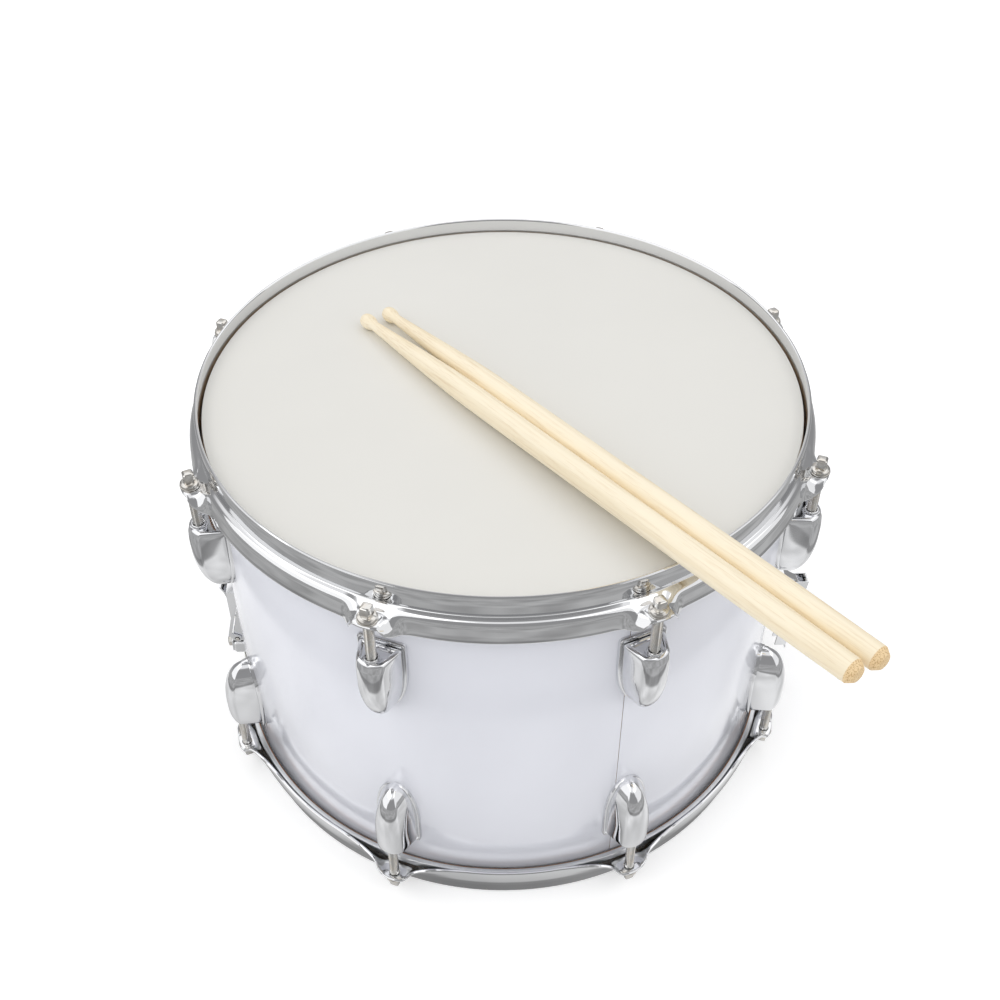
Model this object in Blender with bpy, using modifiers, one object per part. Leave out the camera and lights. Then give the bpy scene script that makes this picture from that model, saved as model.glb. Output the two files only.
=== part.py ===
"""Marching drum: wrapped shell, two flanged hoops, sixteen lugs and rods, snares and a pair of sticks.

The origin is the centre of the bottom rim, +Z is up, the front of the drum faces -Y and the snare strainer
is on the left, at -X. Lengths are in metres.
"""

import math

import bmesh
import bpy
from mathutils import Matrix, Vector

MM = 0.001

# Shell and its covering
SHELL_DIAMETER = 355.6 * MM
SHELL_DEPTH = 250.0 * MM
SHELL_WALL = 5.7 * MM
WRAP_THICKNESS = 0.5 * MM
WRAP_INSET = 10.3 * MM
SEAM_AZIMUTH = 20.2
SEAM_WIDTH = 0.5 * MM
EDGE_CREST = 1.0 * MM
EDGE_OUTER_DROP = 6.9 * MM
EDGE_OUTER_INSET = 1.8 * MM
RIM_RISE = 9.5 * MM
GAP = 0.3 * MM

# Facets of everything turned about the drum's axis
FACETS = 48
LUG_COUNT = 8
FIRST_LUG = 22.5

# Drum heads
FILM = 0.5 * MM
FLESH_WIDTH = 3.35 * MM
FLESH_HEIGHT = 5.3 * MM
COLLAR_TOP = 10.1 * MM

# Hoops
HOOP_STEEL = 2.2 * MM
HOOP_WALL_HEIGHT = 13.0 * MM
HOOP_SHELF_DROP = 4.0 * MM
BROW_INSET = 1.2 * MM
BROW_DROP = 0.8 * MM
HOOP_DEPTH = 28.0 * MM
SKIRT_RADIUS = 185.0 * MM
SKIRT_LEAN = 5.5
EAR_REACH = 11.0 * MM
EAR_FLAT_ANGLE = 1.9
BATTER_EAR_OPENING = {3.5: 40.0, 5.2: 9.0, 11.25: SKIRT_LEAN}
SNARE_SIDE_EAR_OPENING = {3.8: 43.0, 5.6: 28.0, 9.4: 12.0, 14.0: SKIRT_LEAN}
GATE_WIDTH = 29.0 * MM
GATE_STRIP = 3.2 * MM

# Tension rods, washers and swivel nuts
ROD_CIRCLE = 190.5 * MM
ROD_SHANK = 2.9 * MM
ROD_LENGTH = 57.0 * MM
ROD_KEY = 6.0 * MM
ROD_KEY_HEIGHT = 6.5 * MM
ROD_COLLAR = 5.35 * MM
ROD_COLLAR_HEIGHT = 1.9 * MM
ROD_HOLE = 3.4 * MM
WASHER_RADIUS = 5.7 * MM
WASHER_THICKNESS = 1.0 * MM
NUT_RADIUS = 4.2 * MM
NUT_STAND = 2.6 * MM

# Lugs
LUG_LENGTH = 50.7 * MM
LUG_WIDTH = 28.0 * MM
LUG_PLATE = 2.3 * MM
LUG_PLATE_RISE = 2.8 * MM
LUG_DEPTH = 19.9 * MM
LUG_TOP_BELOW_RIM = 46.8 * MM
LUG_CAVITY_DEPTH = 1.0 * MM
LUG_BORE_DEPTH = 20.0 * MM
LUG_SCREW_SPACING = 29.0 * MM
LUG_SCREW_DROP = 9.2 * MM

# Screws that hold the lugs and fittings, driven from inside the shell
SCREW_SHANK = 2.0 * MM
SCREW_HOLE = 2.4 * MM
SCREW_HEAD = 4.04 * MM
SCREW_HEAD_HEIGHT = 3.2 * MM
SCREW_GRIP = 1.5 * MM

# Vent in the back of the shell
VENT_HEIGHT = 150.0 * MM
VENT_BORE = 4.0 * MM
VENT_TUBE = 5.6 * MM
VENT_FLANGE = 9.0 * MM
VENT_FLANGE_THICKNESS = 1.2 * MM

# Snares
WIRE_COUNT = 20
WIRE_RADIUS = 0.9 * MM
WIRE_PITCH = 2.4 * MM
WIRE_LENGTH = 296.0 * MM
WIRE_CLEARANCE = 0.5 * MM
END_PLATE_LENGTH = 20.0 * MM
END_PLATE_WIDTH = 52.0 * MM
END_PLATE_THICKNESS = 0.8 * MM
STRAP_WIDTH = 14.0 * MM
STRAP_THICKNESS = 0.5 * MM
STRAP_RADIUS = 183.3 * MM
STRAP_BEND = 3.0 * MM

# Snare strainer, on the left
PLATE_THICKNESS = 2.0 * MM
STRAINER_PLATE_WIDTH = 22.0 * MM
STRAINER_BOTTOM = 36.5 * MM
STRAINER_TOP = 105.0 * MM
WEDGE_WIDTH = 16.0 * MM
WEDGE_BOTTOM = 48.0 * MM
WEDGE_TOP = 90.0 * MM
WEDGE_REACH = 12.1 * MM
WEDGE_TIP = 0.4 * MM
LEVER_SHEET = 1.2 * MM
LEVER_FACE = 187.2 * MM
LEVER_DEPTH = 2.4 * MM
LEVER_TOP = 104.5 * MM
LEVER_BEND = 73.0 * MM
LEVER_WEB_BOTTOM = 57.0 * MM
LEVER_GAP = 0.8 * MM
LEVER_PIVOT_RADIUS = 185.6 * MM
LEVER_PIVOT_HEIGHT = 51.6 * MM
LEVER_EAR = 3.2 * MM
PIN_RADIUS = 1.5 * MM
BLOCK_WIDTH = 19.0 * MM
BLOCK_TOP = 47.0 * MM
BLOCK_FACE = 189.2 * MM
BLOCK_SLOT = 1.1 * MM
BLOCK_SLOT_DEPTH = 9.0 * MM
CLAMP_PLATE = 1.2 * MM
CLAMP_SCREW_RADIUS = 1.5 * MM
CLAMP_SCREW_HEAD = 2.6 * MM
CLAMP_KNOB = 4.6 * MM
CLAMP_KNOB_RISE = 4.0 * MM

# Snare butt, on the right
BUTT_PLATE_BOTTOM = 52.0 * MM
BUTT_PLATE_TOP = 104.0 * MM
BUTT_PAD_BOTTOM = 58.0 * MM
BUTT_PAD_TOP = 71.0 * MM
BUTT_PAD_WIDTH = 26.0 * MM
BUTT_POST_BOTTOM = 77.0 * MM
BUTT_POST_SHOULDER = 86.0 * MM
BUTT_POST_TOP = 96.0 * MM
BUTT_POST_CREST = 193.0 * MM
BUTT_POST_WIDTH = 6.6 * MM
BUTT_BAR = 2.6 * MM
CHANNEL_SHEET = 1.0 * MM
CHANNEL_WIDTH = 9.5 * MM
CHANNEL_BOTTOM = 25.0 * MM
CHANNEL_TOP = 90.0 * MM
CHANNEL_CLEARANCE = 8.95 * MM
CHANNEL_LEAN = 6.6 * MM
CHANNEL_BOTTOM_DEPTH = 8.0 * MM
CHANNEL_TOP_DEPTH = 10.0 * MM
CHANNEL_FOOT = 3.0 * MM

# Sticks
STICK_LENGTH = 392.3 * MM
STICK_RADIUS = 7.3 * MM
STICK_BUTT = 6.7 * MM
STICK_BUTT_TAPER = 105.0 * MM
STICK_TAPER = 95.0 * MM
STICK_NECK = 3.1 * MM
STICK_TIP = 4.7 * MM
STICK_TIP_LENGTH = 12.5 * MM
STICK_SPACING = 14.9 * MM
STICK_HEADING = -52.7
STICK_CROSSING = -19.5 * MM
STICK_TIP_ALONG = 98.4 * MM
STICK_STAGGER = 2.6 * MM
STICK_FACETS = 12

# Values that follow from the sizes above
WRAP_RADIUS = SHELL_DIAMETER / 2
SHELL_RADIUS = WRAP_RADIUS - WRAP_THICKNESS - GAP
SHELL_INNER = SHELL_RADIUS - SHELL_WALL
SHELL_BOTTOM = RIM_RISE
SHELL_TOP = RIM_RISE + SHELL_DEPTH
DRUM_HEIGHT = SHELL_DEPTH + 2 * RIM_RISE
FLATNESS = math.cos(math.pi / FACETS)
SEAT = WRAP_RADIUS * FLATNESS + GAP
INNER_SEAT = SHELL_INNER * FLATNESS - GAP
FILM_UNDERSIDE = SHELL_TOP + GAP
FILM_TOP = FILM_UNDERSIDE + FILM
HOOP_INNER = WRAP_RADIUS + 0.4 * MM
HOOP_SHELF = DRUM_HEIGHT - HOOP_WALL_HEIGHT - HOOP_SHELF_DROP
EAR_TOP = HOOP_SHELF
WASHER_BOTTOM = EAR_TOP + GAP
COLLAR_BOTTOM = WASHER_BOTTOM + WASHER_THICKNESS
ROD_TOP = COLLAR_BOTTOM + ROD_COLLAR_HEIGHT + ROD_KEY_HEIGHT
LUG_TOP = DRUM_HEIGHT - LUG_TOP_BELOW_RIM
LUG_TIP = LUG_TOP - LUG_LENGTH
LUG_FLOOR = LUG_TOP - LUG_CAVITY_DEPTH
NUT_TOP = LUG_FLOOR + NUT_STAND
ROD_BORE = ROD_SHANK + 1.5 * GAP
LUG_SCREW_HEIGHTS = (LUG_TOP - LUG_SCREW_DROP, LUG_TOP - LUG_SCREW_DROP - LUG_SCREW_SPACING)
COLLAR_RADIUS = WRAP_RADIUS + GAP + 0.05 * MM
FLESH_INNER = COLLAR_RADIUS + FILM + GAP
SNARE_CEILING = DRUM_HEIGHT - FILM_TOP
WIRE_HEIGHT = SNARE_CEILING - WIRE_CLEARANCE - WIRE_RADIUS
END_PLATE_TOP = WIRE_HEIGHT - 0.55 * WIRE_RADIUS
STRAP_BOTTOM = END_PLATE_TOP + GAP
STRAINER_FACE = SEAT + PLATE_THICKNESS
STRAINER_SCREWS = (STRAINER_TOP - 8 * MM, STRAINER_BOTTOM + 6 * MM)
BUTT_SCREWS = (BUTT_PLATE_TOP - 6 * MM, BUTT_PLATE_BOTTOM + 5 * MM)
BUTT_BAR_BACK = STRAP_RADIUS + STRAP_THICKNESS / 2 + GAP
CHANNEL_BOTTOM_RADIUS = BUTT_BAR_BACK + BUTT_BAR + CHANNEL_CLEARANCE + CHANNEL_BOTTOM_DEPTH
CHANNEL_TOP_RADIUS = CHANNEL_BOTTOM_RADIUS + CHANNEL_LEAN

LEFT = math.pi
RIGHT = 0.0
FRONT = -math.pi / 2
BACK = math.pi / 2


def clear_scene():
    """Remove whatever the file holds."""
    for thing in list(bpy.data.objects):
        bpy.data.objects.remove(thing, do_unlink=True)


def collection(name):
    """Make a collection in the scene."""
    made = bpy.data.collections.new(name)
    bpy.context.scene.collection.children.link(made)
    return made


clear_scene()
PARTS = collection("marching_drum")
CUTTERS = collection("cutters")


def material(name, colour, roughness, metallic):
    """Make a Principled material from a linear colour."""
    made = bpy.data.materials.new(name)
    made.use_nodes = True
    shader = made.node_tree.nodes["Principled BSDF"]
    shader.inputs["Base Color"].default_value = (*colour, 1.0)
    shader.inputs["Roughness"].default_value = roughness
    shader.inputs["Metallic"].default_value = metallic
    made.diffuse_color = (*colour, 1.0)
    return made


CHROME = material("chrome", (0.77, 0.78, 0.79), 0.08, 1.0)
NICKEL = material("nickel", (0.66, 0.63, 0.57), 0.22, 1.0)
WHITE_WRAP = material("white_wrap", (0.86, 0.87, 0.90), 0.12, 0.0)
PLY = material("ply", (0.55, 0.38, 0.22), 0.6, 0.0)
COATED_FILM = material("coated_film", (0.80, 0.78, 0.73), 0.75, 0.0)
CLEAR_FILM = material("clear_film", (0.78, 0.79, 0.80), 0.2, 0.0)
ALUMINIUM = material("aluminium", (0.74, 0.75, 0.76), 0.35, 1.0)
SNARE_STEEL = material("snare_steel", (0.62, 0.62, 0.63), 0.25, 1.0)
STRAP_PLASTIC = material("strap_plastic", (0.80, 0.80, 0.74), 0.4, 0.0)
MAPLE = material("maple", (0.88, 0.72, 0.50), 0.5, 0.0)


def side_matrix(azimuth, lower=False):
    """Carry the +X side of the upper half to an azimuth, turned over for the lower half."""
    turned = Matrix.Rotation(azimuth, 4, "Z")
    if lower:
        turned = turned @ Matrix.Translation((0, 0, DRUM_HEIGHT)) @ Matrix.Rotation(math.pi, 4, "X")
    return turned


def lug_azimuths():
    """Angles of the lugs about the axis, counted from +X."""
    return [FRONT + math.radians(FIRST_LUG + 45.0 * i) for i in range(LUG_COUNT)]


def finish(name, mesh, look, matrix=None, cutter=False, sharp=35.0):
    """Link a mesh as a named object with its material and smooth shading."""
    thing = bpy.data.objects.new(name, mesh)
    (CUTTERS if cutter else PARTS).objects.link(thing)
    if matrix is not None:
        thing.matrix_world = matrix
    if cutter:
        thing.hide_render = True
        thing.display_type = "WIRE"
        return thing
    if look.name not in mesh.materials:
        mesh.materials.append(look)
    if mesh.polygons:
        mesh.shade_smooth()
        mesh.set_sharp_from_angle(angle=math.radians(sharp))
    return thing


def mesh_from(bm, name):
    """Turn a bmesh with outward faces into a mesh."""
    bmesh.ops.recalc_face_normals(bm, faces=bm.faces)
    mesh = bpy.data.meshes.new(name)
    bm.to_mesh(mesh)
    bm.free()
    return mesh


def skin(bm, rings, closed=False):
    """Join rings of vertices that are alike in number, capped unless they close on themselves."""
    count = len(rings[0])
    last = len(rings) if closed else len(rings) - 1
    for i in range(last):
        near, far = rings[i], rings[(i + 1) % len(rings)]
        for j in range(count):
            k = (j + 1) % count
            bm.faces.new((near[j], near[k], far[k], far[j]))
    if not closed:
        bm.faces.new(rings[0])
        bm.faces.new(rings[-1])


def loft_mesh(name, rings, closed=False):
    """Skin rings of points."""
    bm = bmesh.new()
    skin(bm, [[bm.verts.new(point) for point in ring] for ring in rings], closed)
    return mesh_from(bm, name)


def prism_mesh(name, outline, width):
    """Extrude an outline of (x, z) points along Y, centred on y = 0, by a filled 2D curve in millimetres."""
    curve = bpy.data.curves.new(name, "CURVE")
    curve.dimensions = "2D"
    curve.fill_mode = "BOTH"
    curve.extrude = width / 2 / MM
    spline = curve.splines.new("POLY")
    spline.points.add(len(outline) - 1)
    for point, (x, z) in zip(spline.points, outline):
        point.co = (x / MM, z / MM, 0, 1)
    spline.use_cyclic_u = True
    thing = bpy.data.objects.new(name, curve)
    PARTS.objects.link(thing)
    thing.matrix_world = Matrix.Rotation(math.pi / 2, 4, "X") @ Matrix.Scale(MM, 4)
    bpy.context.view_layer.update()
    mesh = bpy.data.meshes.new_from_object(thing.evaluated_get(bpy.context.evaluated_depsgraph_get()))
    mesh.transform(thing.matrix_world)
    bpy.data.objects.remove(thing)
    bm = bmesh.new()
    bm.from_mesh(mesh)
    bpy.data.meshes.remove(mesh)
    bmesh.ops.remove_doubles(bm, verts=bm.verts, dist=0.00001)
    return mesh_from(bm, name)


def rods_mesh(name, rods, sides):
    """Make straight prisms, each given as (radius, length, matrix of its middle)."""
    bm = bmesh.new()
    for radius, length, matrix in rods:
        bmesh.ops.create_cone(
            bm,
            cap_ends=True,
            segments=sides,
            radius1=radius,
            radius2=radius,
            depth=length,
            matrix=matrix,
        )
    return mesh_from(bm, name)


def box_mesh(name, low, high):
    """Make a box between two corners."""
    bm = bmesh.new()
    low, high = Vector(low), Vector(high)
    size = Matrix.Diagonal((*(high - low), 1.0))
    bmesh.ops.create_cube(bm, size=1.0, matrix=Matrix.Translation((low + high) / 2) @ size)
    return mesh_from(bm, name)


def radial(radius, tangent, height):
    """Frame at a radius on the +X side whose own Z points outward."""
    return Matrix.Translation((radius, tangent, height)) @ Matrix.Rotation(math.pi / 2, 4, "Y")


def cut(thing, cutter, operation="DIFFERENCE"):
    """Cut a thing by a cutter, or join the cutter to it."""
    step = thing.modifiers.new(cutter.name, "BOOLEAN")
    step.operation = operation
    step.object = cutter


def turned(name, profile, look, matrix=None, steps=FACETS, cutter=False, sharp=35.0):
    """Turn a profile of (radius, height) points about Z, its outer side running from top to bottom."""
    on_axis = abs(profile[0][0]) < 1e-9
    bm = bmesh.new()
    points = [bm.verts.new((radius, 0, height)) for radius, height in profile]
    last = len(points) - 1 if on_axis else len(points)
    for i in range(last):
        bm.edges.new((points[i], points[(i + 1) % len(points)]))
    mesh = bpy.data.meshes.new(name)
    bm.to_mesh(mesh)
    bm.free()
    half_step = Matrix.Rotation(math.pi / steps, 4, "Z")
    placed = (matrix or Matrix.Identity(4)) @ half_step
    thing = finish(name, mesh, look, placed, cutter)
    screw = thing.modifiers.new("turn", "SCREW")
    screw.steps = steps
    screw.render_steps = steps
    screw.use_merge_vertices = True
    screw.merge_threshold = 0.00001
    screw.use_smooth_shade = True
    return thing


def shell_and_wrap():
    """Ply shell with bearing edges, its white covering with one seam, and the vent in the back."""
    crest_outer = SHELL_RADIUS - EDGE_OUTER_INSET
    crest_inner = crest_outer - EDGE_CREST
    inner_drop = crest_inner - SHELL_INNER
    profile = [
        (crest_outer, SHELL_TOP),
        (SHELL_RADIUS, SHELL_TOP - EDGE_OUTER_DROP),
        (SHELL_RADIUS, SHELL_BOTTOM + EDGE_OUTER_DROP),
        (crest_outer, SHELL_BOTTOM),
        (crest_inner, SHELL_BOTTOM),
        (SHELL_INNER, SHELL_BOTTOM + inner_drop),
        (SHELL_INNER, SHELL_TOP - inner_drop),
        (crest_inner, SHELL_TOP),
    ]
    shell = turned("shell", profile, PLY)
    wrap_inner = SHELL_RADIUS + GAP
    wrap_profile = [
        (WRAP_RADIUS, SHELL_TOP - WRAP_INSET),
        (WRAP_RADIUS, SHELL_BOTTOM + WRAP_INSET),
        (wrap_inner, SHELL_BOTTOM + WRAP_INSET),
        (wrap_inner, SHELL_TOP - WRAP_INSET),
    ]
    wrap = turned("shell_wrap", wrap_profile, WHITE_WRAP)
    holes = []
    middle = (SHELL_INNER + WRAP_RADIUS) / 2
    through = 30 * MM
    for azimuth in lug_azimuths():
        for lower in (False, True):
            for height in LUG_SCREW_HEIGHTS:
                frame = side_matrix(azimuth, lower) @ radial(middle, 0, height)
                holes.append((SCREW_HOLE, through, frame))
    for azimuth, heights in ((LEFT, STRAINER_SCREWS), (RIGHT, BUTT_SCREWS)):
        for height in heights:
            holes.append((SCREW_HOLE, through, side_matrix(azimuth) @ radial(middle, 0, height)))
    screws = finish("screw_holes", rods_mesh("screw_holes", holes, 6), None, cutter=True)
    vent_frame = side_matrix(BACK) @ radial(middle, 0, VENT_HEIGHT)
    vent = finish(
        "vent_hole",
        rods_mesh("vent_hole", [(VENT_TUBE + 2 * GAP, through, vent_frame)], 12),
        None,
        cutter=True,
    )
    seam = math.radians(SEAM_AZIMUTH)
    low = (WRAP_RADIUS - 5 * MM, -SEAM_WIDTH / 2, 0)
    high = (WRAP_RADIUS + 5 * MM, SEAM_WIDTH / 2, DRUM_HEIGHT)
    slit = finish("seam_slit", box_mesh("seam_slit", low, high), None, side_matrix(FRONT + seam), True)
    for thing in (shell, wrap):
        cut(thing, screws)
        cut(thing, vent)
    cut(wrap, slit)
    vent_grommet(vent_frame)


def vent_grommet(frame):
    """Flanged eyelet in the vent hole."""
    back = INNER_SEAT - (SHELL_INNER + WRAP_RADIUS) / 2
    front = SEAT - (SHELL_INNER + WRAP_RADIUS) / 2
    profile = [
        (VENT_FLANGE, front + VENT_FLANGE_THICKNESS),
        (VENT_FLANGE, front),
        (VENT_TUBE, front),
        (VENT_TUBE, back),
        (VENT_BORE, back),
        (VENT_BORE, front + VENT_FLANGE_THICKNESS),
    ]
    turned("vent_grommet", profile, CHROME, frame, steps=12)


def heads():
    """Two drum heads: a film with its collar, and the flesh hoop that carries it."""
    crest = SHELL_RADIUS - EDGE_OUTER_INSET
    knee_height = SHELL_TOP - EDGE_OUTER_DROP + 0.4 * MM
    collar_top = SHELL_TOP - COLLAR_TOP + 0.15 * MM
    flesh_top = SHELL_TOP - COLLAR_TOP + 0.9 * MM
    flesh_bottom = flesh_top - FLESH_HEIGHT
    film = [
        (0, FILM_TOP),
        (crest + 0.65 * MM, FILM_TOP),
        (COLLAR_RADIUS + FILM, collar_top - 0.1 * MM),
        (COLLAR_RADIUS + FILM, flesh_bottom),
        (COLLAR_RADIUS, flesh_bottom),
        (COLLAR_RADIUS, knee_height - 2.6 * MM),
        (crest + GAP, FILM_UNDERSIDE),
        (0, FILM_UNDERSIDE),
    ]
    flesh = [
        (FLESH_INNER + FLESH_WIDTH, flesh_top),
        (FLESH_INNER + FLESH_WIDTH, flesh_bottom),
        (FLESH_INNER, flesh_bottom),
        (FLESH_INNER, flesh_top),
    ]
    for side, lower, look in (("batter", False, COATED_FILM), ("snare_side", True, CLEAR_FILM)):
        matrix = side_matrix(0, lower)
        turned(f"{side}_head_film", film, look, matrix)
        turned(f"{side}_flesh_hoop", flesh, ALUMINIUM, matrix)


def hoop_section(opening, reach):
    """Section of a hoop whose leaf hangs at opening 0 as a skirt and stands out flat at 90 as an ear."""
    turn = math.radians(opening)
    wall_foot = DRUM_HEIGHT - HOOP_WALL_HEIGHT
    foot = Vector((HOOP_INNER + HOOP_STEEL, wall_foot))
    foot_under = Vector((HOOP_INNER, wall_foot - 1.4 * MM))
    fold = Vector((SKIRT_RADIUS, HOOP_SHELF))
    along = Vector((math.sin(turn), -math.cos(turn)))
    inward = Vector((-math.cos(turn), -math.sin(turn)))
    tip = fold + reach * along
    tip_under = tip + HOOP_STEEL * inward
    share = opening / 90.0
    fold_under = Vector((SKIRT_RADIUS - HOOP_STEEL, HOOP_SHELF - 1.5 * MM)).lerp(
        Vector((SKIRT_RADIUS - 1.5 * MM, HOOP_SHELF - HOOP_STEEL)), share
    )
    brow = Vector((SKIRT_RADIUS - BROW_INSET, wall_foot - BROW_DROP))
    brow_under = brow - Vector((0.9 * HOOP_STEEL, HOOP_STEEL))
    return [
        Vector((HOOP_INNER + HOOP_STEEL, DRUM_HEIGHT)),
        foot,
        brow.lerp((foot + fold) / 2, share),
        fold,
        tip,
        tip_under,
        fold_under,
        brow_under.lerp((foot_under + fold_under) / 2, share),
        foot_under,
        Vector((HOOP_INNER, DRUM_HEIGHT)),
    ]


def hoop_mesh(ear_opening):
    """Triple-flanged hoop whose skirt opens into an ear at each rod, by degrees at angles from the rod."""
    skirt = (HOOP_SHELF - (DRUM_HEIGHT - HOOP_DEPTH)) / math.cos(math.radians(SKIRT_LEAN))
    stations = {0.0: (90.0, EAR_REACH), EAR_FLAT_ANGLE: (90.0, EAR_REACH - 0.6 * MM)}
    for angle, opening in ear_opening.items():
        stations[angle] = (opening, skirt)
    stations[18.75] = (SKIRT_LEAN, skirt)
    offsets = sorted({sign * angle for angle in stations for sign in (-1, 1)})
    rings = []
    for azimuth in lug_azimuths():
        for offset in offsets:
            around = Matrix.Rotation(azimuth + math.radians(offset), 4, "Z")
            section = hoop_section(*stations[abs(offset)])
            rings.append([around @ Vector((point.x, 0, point.y)) for point in section])
    return loft_mesh("hoop", rings, closed=True)


def hoops():
    """Batter hoop, and the snare-side hoop with its two gates for the snare straps."""
    rods = []
    for azimuth in lug_azimuths():
        frame = side_matrix(azimuth) @ Matrix.Translation((ROD_CIRCLE, 0, EAR_TOP))
        rods.append((ROD_HOLE, 10 * MM, frame @ Matrix.Rotation(math.pi / 8, 4, "Z")))
    holes = rods_mesh("rod_holes", rods, 8)
    upper_holes = finish("rod_holes_upper", holes, None, cutter=True)
    lower_holes = finish("rod_holes_lower", holes, None, side_matrix(0, True), cutter=True)
    batter = finish("batter_hoop", hoop_mesh(BATTER_EAR_OPENING), CHROME)
    cut(batter, upper_holes)
    snare_side_mesh = hoop_mesh(SNARE_SIDE_EAR_OPENING)
    snare_side = finish("snare_side_hoop", snare_side_mesh, CHROME, side_matrix(0, True))
    cut(snare_side, lower_holes)
    for name, azimuth in (("gate_left", LEFT), ("gate_right", RIGHT)):
        low = (WRAP_RADIUS - 8 * MM, -GATE_WIDTH / 2, GATE_STRIP)
        high = (SKIRT_RADIUS + 8 * MM, GATE_WIDTH / 2, HOOP_DEPTH + 10 * MM)
        cut(snare_side, finish(name, box_mesh(name, low, high), None, side_matrix(azimuth), True))


def lug_section(height, bare=False):
    """Outline of a lug at a height: a thin plate, with a bullet-shaped body standing on it unless bare."""
    rise = min(1.0, (height - LUG_TIP) / LUG_LENGTH)
    swell = math.sqrt(max(0.0, 1 - (1 - min(1.0, rise / 0.67)) ** 2.2))
    plate = LUG_WIDTH / 2 * max(0.12, swell)
    root = max(0.08, 0.97 * swell) * (LUG_WIDTH / 2 - 1.5 * MM)
    droop = 1.4 * MM * max(0.0, (rise - 0.75) / 0.25) ** 2
    depth = LUG_PLATE + (LUG_DEPTH - LUG_PLATE) * max(0.04, swell ** 0.85) - droop
    body = 0 if bare else depth - LUG_PLATE
    half = [
        (0, plate),
        (LUG_PLATE, plate),
        (LUG_PLATE, root),
        (LUG_PLATE + 0.10 * body, root * 0.985),
        (LUG_PLATE + 0.77 * body, root * 0.68),
        (LUG_PLATE + 0.93 * body, root * 0.42),
        (LUG_PLATE + body, root * 0.12),
    ]
    ring = half + [(x, -y) for x, y in reversed(half)]
    return [(SEAT + x, y, height) for x, y in ring]


def screw_mesh(name, heights, shank_end):
    """Hexagon-headed screws driven outward along the +X side from inside the shell."""
    bm = bmesh.new()
    stations = (
        (SCREW_HEAD, INNER_SEAT - SCREW_HEAD_HEIGHT),
        (SCREW_HEAD, INNER_SEAT),
        (SCREW_SHANK, INNER_SEAT),
        (SCREW_SHANK, shank_end),
    )
    for height in heights:
        rings = []
        for radius, along in stations:
            angles = [math.radians(60 * i) for i in range(6)]
            places = [Vector((radius * math.cos(a), radius * math.sin(a), 0)) for a in angles]
            rings.append([bm.verts.new(radial(along, 0, height) @ place) for place in places])
        skin(bm, rings)
    return mesh_from(bm, name)


def lug_hollow():
    """Cutter for the hollow in a lug's rod end."""
    wall = 2.0 * MM
    front = SEAT + LUG_DEPTH - 1.4 * MM - wall
    back = SEAT + 3.2 * MM
    half = [(back, 9.4 * MM), (front - 4.2 * MM, 6.6 * MM), (front - 1.2 * MM, 3.8 * MM), (front, 1.2 * MM)]
    ring = half + [(x, -y) for x, y in reversed(half)]
    middle = (back + front) / 2
    rings = []
    for height, share in ((LUG_FLOOR, 0.9), (LUG_TOP + 4 * MM, 1.08)):
        rings.append([(middle + share * (x - middle), share * y, height) for x, y in ring])
    return finish("lug_hollow", loft_mesh("lug_hollow", rings), None, cutter=True)


def rod_prism(name, radius, low, high):
    """Cutter or filler round a rod's axis, its flats along the rod's own."""
    middle = Matrix.Translation((ROD_CIRCLE, 0, (low + high) / 2)) @ Matrix.Rotation(math.pi / 8, 4, "Z")
    return finish(name, rods_mesh(name, [(radius, high - low, middle)], 8), None, cutter=True)


def lugs():
    """Eight teardrop lugs for each head, each with its swivel nut and its two screws."""
    shares = (0.0, 0.055, 0.17, 0.38, 0.7, 1.0)
    rings = [lug_section(LUG_TIP + share * LUG_LENGTH) for share in shares]
    rings += [lug_section(LUG_TOP, bare=True), lug_section(LUG_TOP + LUG_PLATE_RISE, bare=True)]
    solid = finish("lug_pattern", loft_mesh("lug", rings), CHROME)
    screws = screw_mesh("lug_screws", LUG_SCREW_HEIGHTS, SEAT + SCREW_GRIP)
    cut(solid, lug_hollow())
    cut(solid, rod_prism("swivel_nut", NUT_RADIUS, LUG_FLOOR - 1 * MM, NUT_TOP), "UNION")
    cut(solid, rod_prism("nut_bore", ROD_BORE, NUT_TOP - LUG_BORE_DEPTH, NUT_TOP + 5 * MM))
    cut(solid, finish("lug_screws", screws, None, cutter=True), "UNION")
    bpy.context.view_layer.update()
    graph = bpy.context.evaluated_depsgraph_get()
    mesh = bpy.data.meshes.new_from_object(solid.evaluated_get(graph))
    bpy.data.objects.remove(solid)
    for i, azimuth in enumerate(lug_azimuths()):
        for side, lower in (("batter", False), ("snare_side", True)):
            finish(f"{side}_lug_{i + 1}", mesh, CHROME, side_matrix(azimuth, lower))


def rod_mesh():
    """Tension rod with its washer, its origin on its axis at the top of the key head."""
    collar_top = -ROD_KEY_HEIGHT
    collar_bottom = collar_top - ROD_COLLAR_HEIGHT
    half = ROD_KEY / 2

    def octagon(radius, height):
        angles = [math.radians(22.5 + 45 * i) for i in range(8)]
        return [(radius * math.cos(a), radius * math.sin(a), height) for a in angles]

    def key(height, scale):
        side, corner = half * scale, (half - 0.7 * MM) * scale
        points = [(side, corner), (corner, side), (-corner, side), (-side, corner)]
        points += [(-side, -corner), (-corner, -side), (corner, -side), (side, -corner)]
        return [(x, y, height) for x, y in points]

    rings = [
        key(0, 0.93),
        key(collar_top, 1.0),
        octagon(ROD_COLLAR, collar_top - 0.3 * MM),
        octagon(ROD_COLLAR, collar_bottom),
        octagon(WASHER_RADIUS, collar_bottom),
        octagon(WASHER_RADIUS, collar_bottom - WASHER_THICKNESS),
        octagon(ROD_SHANK, collar_bottom - WASHER_THICKNESS),
        octagon(ROD_SHANK, -ROD_LENGTH),
    ]
    return loft_mesh("rod", rings)


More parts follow.
